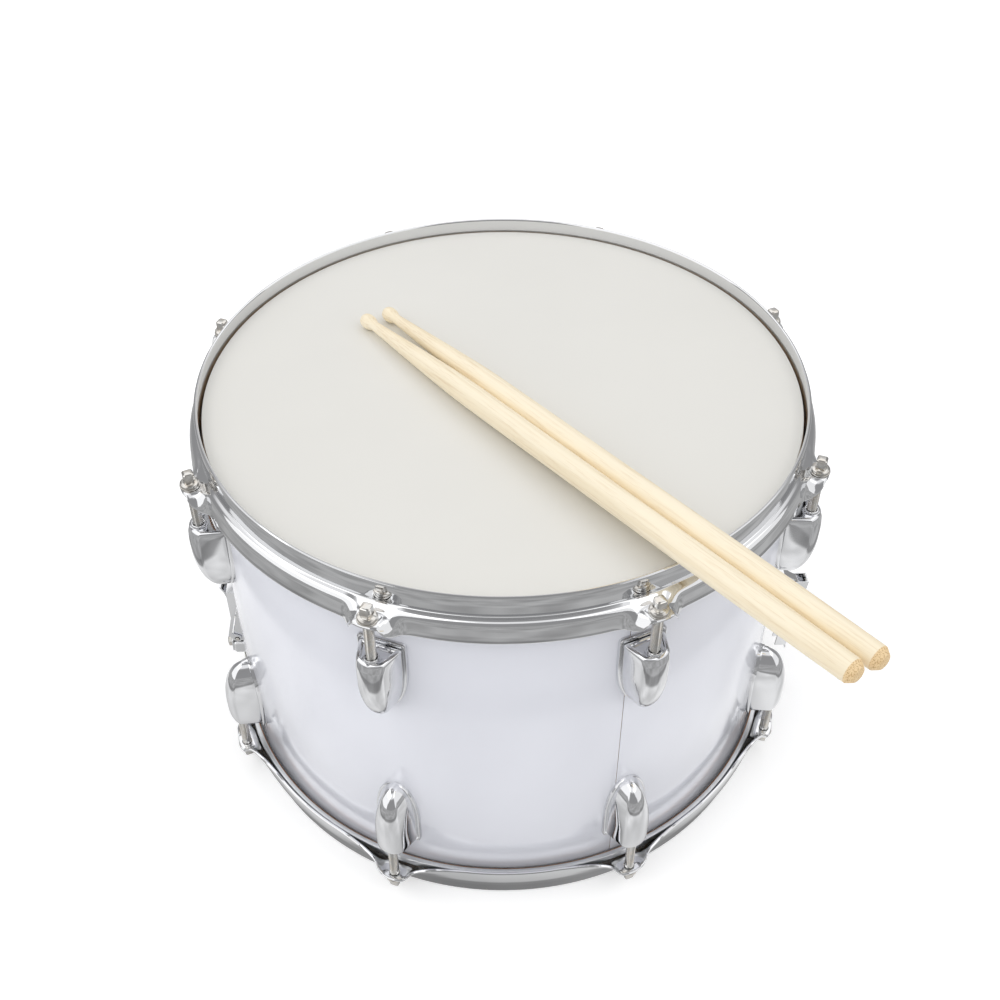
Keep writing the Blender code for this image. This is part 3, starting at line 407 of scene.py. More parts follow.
@dataclass(frozen=True)
class FleshFinish(PlatedFinish):
    """Aluminium ring with the amber glue of the head at its inner edge."""

    glue_and_painted_shade: Colour = (0.42, 0.20, 0.09)
    glue_radii: Point = (179.4 * MM, 179.7 * MM)

    def dress(self, graph: Graph) -> None:
        """Colour the metal inside a radius."""
        super().dress(graph)
        distance = graph.node("ShaderNodeVectorMath", operation="LENGTH")
        graph.link(graph.place((1, 1, 0)), distance.inputs[0])
        near = graph.range(distance.outputs["Value"], 1.0, 0.0, self.glue_radii)
        mix = graph.node("ShaderNodeMix", data_type="RGBA")
        graph.link(near, mix.inputs["Factor"])
        mix.inputs["A"].default_value = (*self.colour, 1.0)
        mix.inputs["B"].default_value = (*self.glue_and_painted_shade, 1.0)
        graph.link(mix.outputs["Result"], graph.shader.inputs["Base Color"])


@dataclass(frozen=True)
class WrapFinish(Finish):
    """Glossy white plastic covering."""

    def dress(self, graph: Graph) -> None:
        """Add a clear top layer, faint clouding and the print of the shell's plies."""
        graph.set(Coat_Weight=0.4, Coat_Roughness=0.09, Specular_IOR_Level=0.5)
        clouds = graph.noise(14.0, detail=2.0)
        graph.link(
            graph.ramp(clouds, [(0.3, shade(self.colour, 0.985)), (0.7, shade(self.colour, 1.01))]),
            graph.shader.inputs["Base Color"],
        )
        graph.bump(graph.noise(18.0, detail=1.0), 0.03 * MM, 0.35)
        graph.bump(graph.noise(900.0, detail=2.0), 0.003 * MM, 0.3)


@dataclass(frozen=True)
class CoatedFilmFinish(Finish):
    """Sprayed coating on a drum head, with an orange-brown painted shadow line at its collar, where the head meets the
    hoop.
    """

    # Colour of the painted shadow line at the collar; on the flesh ring this field is the real amber glue.
    glue_and_painted_shade: Colour = (0.68, 0.47, 0.28)
    shadow_line_radius: float = 176.95 * MM
    shadow_line_width: float = 0.7 * MM

    def dress(self, graph: Graph) -> None:
        """Add the grain of the coating, faint clouding and the painted shadow line."""
        grain = graph.noise(2600.0, detail=3.0)
        clouds = graph.noise(9.0, detail=3.0)
        mottled = graph.ramp(clouds, [(0.3, shade(self.colour, 0.985)), (0.7, shade(self.colour, 1.012))])
        coordinates = graph.place((1, 1, 0))
        length = graph.node("ShaderNodeVectorMath", operation="LENGTH")
        graph.link(coordinates, length.inputs[0])
        # Painted shade: an orange-brown band at the collar stands in for the shadow between the head and the hoop.
        shadow_band = graph.ramp(
            graph.range(length.outputs["Value"], 0.0, 1.0, (self.shadow_line_radius, self.shadow_line_radius + 2 * self.shadow_line_width)),
            [(0.0, (0, 0, 0)), (0.2, (0.9, 0.9, 0.9)), (0.5, (0.9, 0.9, 0.9)), (0.8, (0.12, 0.12, 0.12))],
        )
        mix = graph.node("ShaderNodeMix", data_type="RGBA")
        graph.link(shadow_band, mix.inputs["Factor"])
        graph.link(mottled, mix.inputs["A"])
        mix.inputs["B"].default_value = (*self.glue_and_painted_shade, 1.0)
        graph.link(mix.outputs["Result"], graph.shader.inputs["Base Color"])
        graph.link(graph.range(grain, self.roughness - 0.08, self.roughness + 0.08), graph.shader.inputs["Roughness"])
        graph.bump(grain, 0.02 * MM, 0.35)


@dataclass(frozen=True)
class ClearFilmFinish(Finish):
    """Thin clear film of the lower head."""

    def dress(self, graph: Graph) -> None:
        """Let light through, with a faint haze in patches."""
        graph.set(Transmission_Weight=0.82, IOR=1.46)
        haze = graph.range(graph.noise(30.0), self.roughness, self.roughness + 0.08)
        graph.link(haze, graph.shader.inputs["Roughness"])
        graph.bump(graph.noise(400.0), 0.004 * MM, 0.2)


@dataclass(frozen=True)
class WoodFinish(Finish):
    """Wood with grain along its own Z axis, or round the axis for a bent ply."""

    dark: Colour = (0.5, 0.34, 0.18)
    stretch: tuple[float, float, float] = (1.0, 1.0, 0.035)
    grain: float = 900.0
    contrast: float = 1.0
    end_length: float = 0.0

    def end_grain_and_shade(self, graph: Graph, wood: bpy.types.NodeSocket) -> bpy.types.NodeSocket:
        """Darken the cut end at the foot of the object's own Z, speckled by its open pores: darker end grain, with
        painted shade on the butt's bevel.
        """
        split = graph.node("ShaderNodeSeparateXYZ")
        graph.link(graph.place(), split.inputs["Vector"])
        near = graph.range(split.outputs["Z"], 1.0, 0.0, (0.9 * self.end_length, self.end_length))
        speckle = graph.ramp(graph.noise(1400.0, detail=3.0), [(0.36, (0.62, 0.44, 0.26)), (0.52, (0.93, 0.80, 0.62))])
        mix = graph.node("ShaderNodeMix", data_type="RGBA", blend_type="MULTIPLY")
        graph.link(near, mix.inputs["Factor"])
        graph.link(wood, mix.inputs["A"])
        graph.link(speckle, mix.inputs["B"])
        return mix.outputs["Result"]

    def dress(self, graph: Graph) -> None:
        """Lay long fibres, wide bands and fine pores over each other."""
        graph.set(Specular_IOR_Level=0.35)
        fibres = graph.noise(self.grain, self.stretch, detail=6.0, Roughness=0.62)
        bands = graph.noise(self.grain / 6, self.stretch, detail=2.0, Distortion=0.6)
        pores = graph.noise(self.grain * 3.2, self.stretch, detail=2.0)
        base = graph.ramp(
            fibres,
            [(0.30, tuple(c + (d - c) * 0.5 * self.contrast for c, d in zip(self.colour, self.dark))), (0.47, self.colour), (0.75, shade(self.colour, 1.03))],
        )
        mix = graph.node("ShaderNodeMix", data_type="RGBA", blend_type="MULTIPLY")
        mix.inputs["Factor"].default_value = 0.75 * self.contrast
        graph.link(base, mix.inputs["A"])
        graph.link(graph.ramp(bands, [(0.32, (0.90, 0.86, 0.78)), (0.6, (1.0, 1.0, 1.0))]), mix.inputs["B"])
        wood = mix.outputs["Result"]
        # The darkened butt end is partly the wood's end grain and partly painted shade on its bevel.
        if self.end_length:
            wood = self.end_grain_and_shade(graph, wood)
        graph.link(wood, graph.shader.inputs["Base Color"])
        graph.link(graph.range(pores, self.roughness - 0.06, self.roughness + 0.12), graph.shader.inputs["Roughness"])
        graph.bump(fibres, 0.05 * MM, 0.35)
        graph.bump(pores, 0.02 * MM, 0.3)


@dataclass(frozen=True)
class MouldedFinish(Finish):
    """Plain moulded plastic with a fine grain."""

    def dress(self, graph: Graph) -> None:
        """Add the grain and a faint unevenness of colour."""
        clouds = graph.noise(60.0, detail=2.0)
        graph.link(
            graph.ramp(clouds, [(0.3, shade(self.colour, 0.95)), (0.7, self.colour)]),
            graph.shader.inputs["Base Color"],
        )
        graph.bump(graph.noise(1800.0), 0.01 * MM, 0.3)


HOOP_CHROME = PlatedFinish("hoop_chrome_plate", (0.76, 0.765, 0.775), 0.045, wave=0.012 * MM)
LUG_CHROME = PlatedFinish("lug_chrome_plate", (0.76, 0.765, 0.78), 0.05, wave=0.035 * MM)
FITTING_CHROME = PlatedFinish("fitting_chrome_plate", (0.75, 0.755, 0.765), 0.09, wave=0.02 * MM)
ROD_NICKEL = PlatedFinish("rod_nickel_plate", (0.66, 0.655, 0.635), 0.09, tint=(0.02, -0.02, -0.06))
ALUMINIUM = FleshFinish("flesh_hoop_aluminium", (0.72, 0.73, 0.74), 0.3, haze=0.12)
SNARE_STEEL = PlatedFinish("snare_wire_steel", (0.6, 0.6, 0.61), 0.22)
WHITE_WRAP = WrapFinish("white_wrap_gloss", (0.80, 0.812, 0.872), 0.14)
BATTER_FILM = CoatedFilmFinish("batter_film_coating", (0.785, 0.775, 0.735), 0.72)
SNARE_FILM = ClearFilmFinish("snare_film_clear", (0.93, 0.94, 0.95), 0.12)
STICK_WOOD = WoodFinish("stick_maple", (0.985, 0.885, 0.69), 0.5, dark=(0.72, 0.55, 0.33), end_length=3.9 * MM)
SHELL_PLY = WoodFinish("shell_ply_veneer", (0.60, 0.42, 0.25), 0.55, stretch=(0.05, 0.05, 1.0), grain=260.0)
STRAP_PLASTIC = MouldedFinish("strap_moulded", (0.80, 0.79, 0.70), 0.4)


@dataclass(frozen=True)
class Piece:
    """How a finished piece joins the frame."""

    name: str
    finish: Finish
    slot: str
    body: str = "drum"
    node: Optional[str] = None

    def add(self, mesh: bpy.types.Mesh, matrix: Optional[Matrix] = None, sharp: float = 32.0) -> bpy.types.Object:
        """Link a mesh as this piece, smooth it and fasten it to its body.

        Args:
            mesh: the piece's mesh, in its own frame.
            matrix: the place of that frame, if it isn't the drum's.
            sharp: edges that bend by more degrees than this stay sharp.

        Returns:
            The new object.
        """
        thing = bpy.data.objects.new(self.name, mesh)
        bpy.context.scene.collection.objects.link(thing)
        if matrix is not None:
            thing.matrix_world = matrix
        self.fasten(thing, sharp)
        return thing

    def fasten(self, thing: bpy.types.Object, sharp: float = 32.0) -> None:
        """Give an object its finish and shading, parent it to its body and hide the imported node that it replaces."""
        if not thing.data.materials:
            thing.data.materials.append(self.finish.material())
            thing.data.shade_smooth()
            thing.data.set_sharp_from_angle(angle=math.radians(sharp))
        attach(thing, self.body)
        if self.node:
            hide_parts(self.node)
        LOG.info("made %s", thing.name)


def dress_node(node: str, finish: Finish, bevel: float = 0.3 * MM) -> None:
    """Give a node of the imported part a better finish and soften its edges.

    Args:
        node: the node's name.
        finish: its finish.
        bevel: width of the rounding on its edges.
    """
    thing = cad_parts[node]
    thing.data.materials.clear()
    thing.data.materials.append(finish.material())
    weld = thing.modifiers.new("weld", "WELD")
    weld.merge_threshold = 0.00001
    edges = thing.modifiers.new("soften", "BEVEL")
    edges.width = bevel
    edges.segments = 2
    edges.limit_method = "ANGLE"
    edges.angle_limit = math.radians(30)
    edges.harden_normals = True
    LOG.info("dressed %s", node)


# Sub-assemblies


@dataclass
class Shell:
    """Ply shell, its white covering with one seam, and the vent's eyelet."""

    steps: int = 180
    crest: float = 1.0 * MM
    edge_inset: float = 1.8 * MM
    edge_drop: float = 6.9 * MM
    wrap_low: float = 19.8 * MM
    wrap_high: float = 249.2 * MM
    wrap_inner: float = 177.3 * MM
    seam_azimuth: float = math.radians(20.2)
    seam_gap: float = 0.35 * MM
    vent_height: float = 150.0 * MM
    vent_flange: float = 9.0 * MM
    vent_tube: float = 5.6 * MM
    vent_bore: float = 4.0 * MM

    def shell_outline(self) -> list[Vector]:
        """Section of the ply with its two bearing edges."""
        outer = DRUM.shell_radius - self.edge_inset
        inner = outer - self.crest
        slope = inner - DRUM.shell_inner
        upper = [
            (inner, DRUM.shell_top, 0.4 * MM),
            (outer, DRUM.shell_top, 0.4 * MM),
            (DRUM.shell_radius, DRUM.shell_top - self.edge_drop, 1.0 * MM),
        ]
        middle = DRUM.height / 2
        lower = [(r, 2 * middle - z, cut) for r, z, cut in reversed(upper)]
        inside = [
            (DRUM.shell_inner, DRUM.shell_bottom + slope, 0.8 * MM),
            (DRUM.shell_inner, DRUM.shell_top - slope, 0.8 * MM),
        ]
        return rounded(list(upper) + lower + inside, 3)

    def build_shell(self) -> None:
        """Turn the shell."""
        mesh = closed_mesh("shell_ply", lambda bm: turn(bm, self.shell_outline(), self.steps))
        Piece("shell_ply", SHELL_PLY, "shell_ply", node="shell").add(mesh)

    def build_wrap(self) -> None:
        """Bend the covering round the shell, with a fine gap and a rounded edge at the seam."""
        outline = rounded(
            [
                (DRUM.wrap_radius, self.wrap_high, 0.2 * MM),
                (DRUM.wrap_radius, self.wrap_low, 0.2 * MM),
                (self.wrap_inner, self.wrap_low, 0.1 * MM),
                (self.wrap_inner, self.wrap_high, 0.1 * MM),
            ],
            2,
        )
        start = Direction.FRONT.value + self.seam_azimuth
        half = self.seam_gap / 2 / DRUM.wrap_radius
        soft = 0.5 * MM / DRUM.wrap_radius
        turns = [half, half + soft / 2, half + soft]
        turns += [2 * math.pi * i / 240 for i in range(1, 240)]
        turns += [2 * math.pi - half - soft, 2 * math.pi - half - soft / 2, 2 * math.pi - half]
        sink = {0: 0.25 * MM, 1: 0.06 * MM, len(turns) - 2: 0.06 * MM, len(turns) - 1: 0.25 * MM}
        rings = []
        for i, angle in enumerate(turns):
            around = Matrix.Rotation(start + angle, 4, "Z")
            drop = sink.get(i, 0.0)
            rings.append([around @ Vector((max(self.wrap_inner, p.x - drop), 0, p.y)) for p in outline])
        mesh = closed_mesh("shell_covering", lambda bm: skin(bm, rings))
        Piece("shell_covering", WHITE_WRAP, "white_wrap", node="shell_wrap").add(mesh, sharp=50)

    def build_vent(self) -> None:
        """Turn the eyelet in the back of the shell."""
        outer, inner = DRUM.wrap_radius, DRUM.inner_seat
        outline = rounded(
            [
                (self.vent_bore, outer + 1.3 * MM, 0.5 * MM),
                (self.vent_flange, outer + 1.0 * MM, 0.5 * MM),
                (self.vent_flange, outer - 0.1 * MM, 0),
                (self.vent_tube, outer - 0.1 * MM, 0),
                (self.vent_tube, inner, 0.2 * MM),
                (self.vent_bore, inner, 0.2 * MM),
            ],
            3,
        )
        place = DRUM.side_matrix(Direction.BACK.value) @ radial(0, 0, self.vent_height)
        mesh = closed_mesh("vent_eyelet", lambda bm: turn(bm, outline, 40))
        Piece("vent_eyelet", LUG_CHROME, "lug_chrome", node="vent_grommet").add(mesh, place)

    def build(self) -> None:
        """Make all three pieces."""
        self.build_shell()
        self.build_wrap()
        self.build_vent()


@dataclass
class DrumHead:
    """One head: its film with a bent collar, and its flesh hoop."""

    head: Head
    steps: int = 180
    film: float = 0.5 * MM
    collar: float = 178.65 * MM
    crest: float = 176.9 * MM
    knee: float = 249.4 * MM
    flesh_low: float = 245.0 * MM
    flesh_high: float = 250.3 * MM
    flesh_inner: float = 178.95 * MM
    flesh_outer: float = 182.3 * MM

    def film_outline(self) -> list[Vector]:
        """Section of the film from the centre of its top, down the collar and back underneath."""
        top, under = DRUM.film_top, DRUM.film_underside
        inner = self.collar - self.film
        return [
            Vector((0, top)),
            Vector((60 * MM, top)),
            Vector((120 * MM, top)),
            Vector((160 * MM, top)),
            *rounded(
                [
                    (self.crest, top, 1.2 * MM),
                    (self.collar, self.knee, 2.0 * MM),
                    (self.collar, self.flesh_low, 0.1 * MM),
                    (inner, self.flesh_low, 0.1 * MM),
                    (inner, self.knee, 2.0 * MM),
                    (self.crest - 0.4 * MM, under, 1.2 * MM),
                ],
                4,
            ),
            Vector((160 * MM, under)),
            Vector((0, under)),
        ]

    def build(self) -> None:
        """Make the film and the flesh hoop."""
        side = self.head.value
        place = DRUM.side_matrix(0, self.head)
        finish, slot = (SNARE_FILM, "snare_film") if self.head.lower else (BATTER_FILM, "batter_film")
        film = closed_mesh(f"{side}_film", lambda bm: turn(bm, self.film_outline(), self.steps))
        Piece(f"{side}_film", finish, slot, node=f"{side}_head_film").add(film, place, 60)
        ring = rounded(
            [
                (self.flesh_outer, self.flesh_high, 0.8 * MM),
                (self.flesh_outer, self.flesh_low, 0.8 * MM),
                (self.flesh_inner, self.flesh_low, 0.5 * MM),
                (self.flesh_inner, self.flesh_high, 0.5 * MM),
            ],
            3,
        )
        mesh = closed_mesh(f"{side}_flesh_ring", lambda bm: turn(bm, ring, self.steps))
        piece = Piece(f"{side}_flesh_ring", ALUMINIUM, "flesh_aluminium", node=f"{side}_flesh_hoop")
        piece.add(mesh, place)


@dataclass
class Hoop:
    """Pressed steel hoop: a wall, a sloping shelf and a skirt that opens into an ear at each rod."""

    head: Head
    inner: float = 178.2 * MM
    wall_foot: float = 255.6 * MM
    brow: float = 1.9 * MM
    shelf: float = 252.0 * MM
    fold_radius: float = 185.0 * MM
    skirt: float = 11.05 * MM
    lean: float = math.radians(5.5)
    ear_reach: float = 11.0 * MM
    ear_flat: float = 1.75
    wall_bend: float = 1.7 * MM
    brow_bend: float = 1.9 * MM
    skirt_bend: float = 4.4 * MM
    hole: float = 3.4 * MM
    gate_width: float = 29.0 * MM
    gate_strip: float = 3.2 * MM

    def openness(self, offset: float) -> tuple[float, float]:
        """How far the leaf stands open, in radians, and how long it is, at an angle from a rod in degrees."""
        flat = math.radians(90.0)
        stations = [(0.0, flat), (self.ear_flat, flat), *self.ear_openings, (22.5, self.lean)]
        opening = monotone(stations, abs(offset))
        round_end = 0.9 * MM * clamp(abs(offset) / self.ear_flat) ** 3
        ear = self.ear_reach - round_end
        return opening, ear + (self.skirt - ear) * ease((flat - opening) / math.radians(40.0))

    @property
    def ear_openings(self) -> list[tuple[float, float]]:
        """Angles from the rod, in degrees, and how far the leaf stands open there: wider on the lower hoop."""
        if self.head.lower:
            stations = [(3.8, 43.0), (5.6, 28.0), (9.4, 12.0), (14.0, 5.5)]
        else:
            stations = [(3.5, 40.0), (5.3, 8.0), (7.0, 5.5)]
        return [(angle, math.radians(opening)) for angle, opening in stations]

    def section(self, opening: float, reach: float) -> list[Vector]:
        """Closed outline of the bent steel at one station."""
        half = DRUM.steel / 2
        along = Vector((math.sin(opening), -math.cos(opening)))
        inward = Vector((-math.cos(opening), -math.sin(opening)))
        middle = self.inner + half
        top = Vector((middle, DRUM.height - half))
        foot = Vector((middle, self.wall_foot - 0.7 * MM))
        tip = Vector((self.fold_radius, self.shelf)) + inward * half + along * (reach - half)
        hang = clamp(math.cos(opening) / math.cos(self.lean))
        fold = Vector((self.fold_radius, self.shelf + self.brow * hang)) + inward * half
        path = [top, top.lerp(foot, 0.5)]
        path += corner_curve(top, foot, fold, self.wall_bend, 6)
        bend = self.brow_bend + (self.skirt_bend - self.brow_bend) * hang
        path += corner_curve(foot, fold, tip, self.brow_bend, 8, bend)
        path += [fold.lerp(tip, 0.62), tip]
        outer, inside = [], []
        for i, point in enumerate(path):
            before = path[max(0, i - 1)]
            after = path[min(len(path) - 1, i + 1)]
            heading = (after - before).normalized()
            side = Vector((-heading.y, heading.x)) * half
            outer.append(point + side)
            inside.append(point - side)
        start = self.end_cap(top, Vector((-0.34, 0.94)), half)
        finish = self.end_cap(tip, along, half)
        return outer + finish + list(reversed(inside)) + start

    @staticmethod
    def end_cap(centre: Vector, outward: Vector, half: float) -> list[Vector]:
        """Points of the rounded edge between the two faces of the steel, clockwise."""
        across = Vector((-outward.y, outward.x))
        angles = [math.radians(60 - 40 * i) for i in range(4)]
        return [centre + half * (math.sin(a) * across + math.cos(a) * outward) for a in angles]

    def mesh(self) -> bpy.types.Mesh:
        """Loft the sections round the drum."""
        near = [0.5 * i for i in range(17)]
        far = [8.0 + 1.45 * i for i in range(1, 10)]
        offsets = [-angle for angle in reversed(near[1:] + far)] + near + far
        rings = []
        for azimuth in DRUM.lug_azimuths():
            for offset in offsets:
                around = Matrix.Rotation(azimuth + math.radians(offset), 4, "Z")
                outline = self.section(*self.openness(offset))
                rings.append([around @ Vector((p.x, 0, p.y)) for p in outline])
        return closed_mesh(f"{self.head.value}_hoop", lambda bm: skin(bm, rings, path_closed=True))

    def holes(self) -> bpy.types.Mesh:
        """Cutters for the rod holes in the ears."""

        def build(bm: bmesh.types.BMesh) -> None:
            for azimuth in DRUM.lug_azimuths():
                place = DRUM.side_matrix(azimuth) @ Matrix.Translation((DRUM.rod_circle, 0, self.shelf))
                bmesh.ops.create_cone(
                    bm,
                    cap_ends=True,
                    segments=28,
                    radius1=self.hole,
                    radius2=self.hole,
                    depth=10 * MM,
                    matrix=place,
                )

        return closed_mesh("rod_holes", build)

    def gates(self) -> bpy.types.Mesh:
        """Cutters for the two gates that the snare straps pass."""

        def build(bm: bmesh.types.BMesh) -> None:
            low, high = DRUM.height - 60 * MM, DRUM.height - self.gate_strip
            size = Matrix.Diagonal((40 * MM, self.gate_width, high - low, 1.0))
            for azimuth in (0.0, math.pi):
                middle = Matrix.Translation((DRUM.rim_radius, 0, (low + high) / 2))
                bmesh.ops.create_cube(bm, size=1.0, matrix=Matrix.Rotation(azimuth, 4, "Z") @ middle @ size)

        return closed_mesh("gates", build)

    def build(self) -> None:
        """Make the hoop."""
        thing = bpy.data.objects.new(f"{self.head.value}_hoop_pressed", self.mesh())
        bpy.context.scene.collection.objects.link(thing)
        carve(thing, [self.holes()] + ([self.gates()] if self.head.lower else []))
        thing.matrix_world = DRUM.side_matrix(0, self.head)
        Piece(thing.name, HOOP_CHROME, "hoop_chrome", node=f"{self.head.value}_hoop").fasten(thing)


@dataclass
class Lugs:
    """Sixteen cast teardrop lugs: a bordered plate, a ridged body with an open rod end, and a swivel nut."""

    top: float = 222.2 * MM
    length: float = 50.7 * MM
    width: float = 28.0 * MM
    plate: float = 2.3 * MM
    plate_rise: float = 2.8 * MM
    depth: float = 19.9 * MM
    plate_corner: float = 3.0 * MM
    border: float = 1.5 * MM
    wall: float = 2.0 * MM
    cavity: float = 1.0 * MM
    nut_radius: float = 4.1 * MM
    nut_bore: float = 3.3 * MM
    nut_stand: float = 2.6 * MM
    nut_ring: float = 5.3 * MM
    nut_ring_stand: float = 1.1 * MM
    full_width: float = 0.67
    screw_heights: tuple[float, float] = (213.0 * MM, 184.0 * MM)
    screw_head: float = 4.0 * MM
    screw_head_height: float = 3.2 * MM

    def swell(self, rise: float) -> float:
        """Share of the full width at a share of the length from the tip."""
        return math.sqrt(max(0.0, 1 - (1 - min(1.0, rise / self.full_width)) ** 2.2))

    def body_outline(self, rise: float) -> list[Vector]:
        """Closed outline (out, across) of the body at a share of the length from the tip."""
        swell = self.swell(rise)
        root = max(0.08, 0.97 * swell) * (self.width / 2 - self.border)
        droop = 1.4 * MM * clamp((rise - 0.75) / 0.25) ** 2
        body = (self.depth - self.plate) * max(0.04, swell**0.85) - droop
        half = [
            (-0.8 * MM, root),
            (0.10 * body, 0.985 * root),
            (0.74 * body, 0.700 * root),
            *through([(0.80 * body, 0.655 * root), (0.87 * body, 0.56 * root), (0.945 * body, 0.38 * root), (0.985 * body, 0.19 * root), (body, 0)], 3),
        ]
        side = [Vector((self.plate + x, -y)) for x, y in half]
        return side + [Vector((p.x, -p.y)) for p in reversed(side[:-1])]

    def body_rings(self) -> list[Ring]:
        """Rings of the body from its tip, over its rim and down to the floor of its hollow."""
        shares = [0.5 * (1 - math.cos(math.pi * i / 44)) for i in range(1, 23)]
        rises = [0.0] + [2 * s * self.full_width for s in shares] + [0.73, 0.79, 0.84, 0.88, 0.91]
        levels = [(rise, self.tip_height + rise * self.length, 0.0) for rise in rises]
        levels += [
            (1.0, self.top - 2.2 * MM, 0.0),
            (1.0, self.top - 1.4 * MM, 0.12 * MM),
            (1.0, self.top - 0.75 * MM, 0.45 * MM),
            (1.0, self.top - 0.3 * MM, 0.95 * MM),
            (1.0, self.top - 0.05 * MM, 1.6 * MM),
            (1.0, self.top, 2.1 * MM),
            (1.0, self.top - 0.25 * MM, 2.5 * MM),
            (1.0, self.floor + 0.1 * MM, 2.9 * MM),
            (1.0, self.floor, 3.4 * MM),
        ]
        rings = []
        for rise, height, step in levels:
            outline = self.body_outline(rise)
            if step:
                outline = inset(outline, step)
            rings.append([Vector((DRUM.seat + p.x, p.y, height)) for p in outline])
        return rings

    @property
    def tip_height(self) -> float:
        """Height of the tip, on the upper half."""
        return self.top - self.length

    @property
    def floor(self) -> float:
        """Height of the hollow's floor."""
        return self.top - self.cavity

    def plate_rings(self) -> list[Ring]:
        """Rings of the plate, from the shell out to its border and in to the groove round the body."""
        rises = [0.02, 0.05, 0.1, 0.16, 0.23, 0.31, 0.4, 0.5, 0.62, 0.75, 0.88, 0.955]
        sides = [(self.width / 2 * max(0.12, self.swell(r)), self.tip_height + r * self.length) for r in rises]
        edge, crown = self.width / 2, self.top + self.plate_rise
        corner = [math.radians(30 * i) for i in range(4)]
        reach = self.plate_corner
        sides += [(edge - reach * (1 - math.cos(a)), crown - reach * (1 - math.sin(a))) for a in corner]
        right = [Vector((y, z)) for y, z in sides]
        outline = [Vector((0, self.tip_height))] + right + [Vector((-p.x, p.y)) for p in reversed(right)]
        rings = []
        for out, step in ((-0.3, 0.0), (1.5, 0.0), (2.1, 0.25), (2.3, 0.75), (2.28, 1.1), (1.95, 1.6)):
            ring = []
            for p in inset(outline, step * MM):
                follow = p.x**2 / (2 * DRUM.wrap_radius)
                ring.append(Vector((DRUM.seat + out * MM - follow, p.x, p.y)))
            rings.append(ring)
        return rings

    def build_fasteners(self, bm: bmesh.types.BMesh) -> None:
        """Add the swivel nut on its six-sided ring in the hollow, and the two screws inside the shell."""
        nut_top = self.floor + self.nut_stand
        nut = rounded(
            [
                (self.nut_bore, nut_top, 0.35 * MM),
                (self.nut_radius, nut_top, 0.5 * MM),
                (self.nut_radius + 0.5 * MM, self.floor - 0.3 * MM, 0),
                (self.nut_bore, self.floor - 0.3 * MM, 0),
            ],
            3,
        )
        turn(bm, nut, 28, Matrix.Translation((DRUM.rod_circle, 0, 0)))
        ring_top = self.floor + self.nut_ring_stand
        ring = rounded(
            [
                (self.nut_radius - 0.6 * MM, ring_top, 0),
                (self.nut_ring, ring_top, 0.3 * MM),
                (self.nut_ring, self.floor - 0.3 * MM, 0),
                (self.nut_radius - 0.6 * MM, self.floor - 0.3 * MM, 0),
            ],
            2,
        )
        turn(bm, ring, 6, Matrix.Translation((DRUM.rod_circle, 0, 0)))
        for height in self.screw_heights:
            rings = []
            foot = DRUM.inner_seat - self.screw_head_height
            for radius, out in ((0.88, foot), (1.0, foot + 0.4 * MM), (1.0, DRUM.inner_seat), (1.45, DRUM.inner_seat), (1.45, DRUM.shell_inner)):
                sides = 6 if radius <= 1 else 24
                corner = [math.radians(360 / 24 * i) for i in range(24)]
                reach = [self.polygon(sides, a) * radius * self.screw_head for a in corner]
                place = radial(out, 0, height)
                rings.append([place @ Vector((r * math.cos(a), r * math.sin(a), 0)) for r, a in zip(reach, corner)])
            skin(bm, rings)

    @staticmethod
    def polygon(sides: int, angle: float) -> float:
        """Share of the corner radius that a regular polygon reaches at an angle."""
        if sides > 6:
            return 1.0
        step = 2 * math.pi / sides
        return math.cos(step / 2) / math.cos(angle % step - step / 2)

    def build(self) -> None:
        """Cast one lug and fasten it at each of its places."""

        def build_all(bm: bmesh.types.BMesh) -> None:
            skin(bm, self.body_rings())
            skin(bm, self.plate_rings())
            self.build_fasteners(bm)

        mesh = closed_mesh("lug_casting", build_all)
        for i, azimuth in enumerate(DRUM.lug_azimuths()):
            for head in Head:
                node = f"{head.value}_lug_{i + 1}"
                Piece(f"{node}_casting", LUG_CHROME, "lug_chrome", node=node).add(mesh, DRUM.side_matrix(azimuth, head), 24)


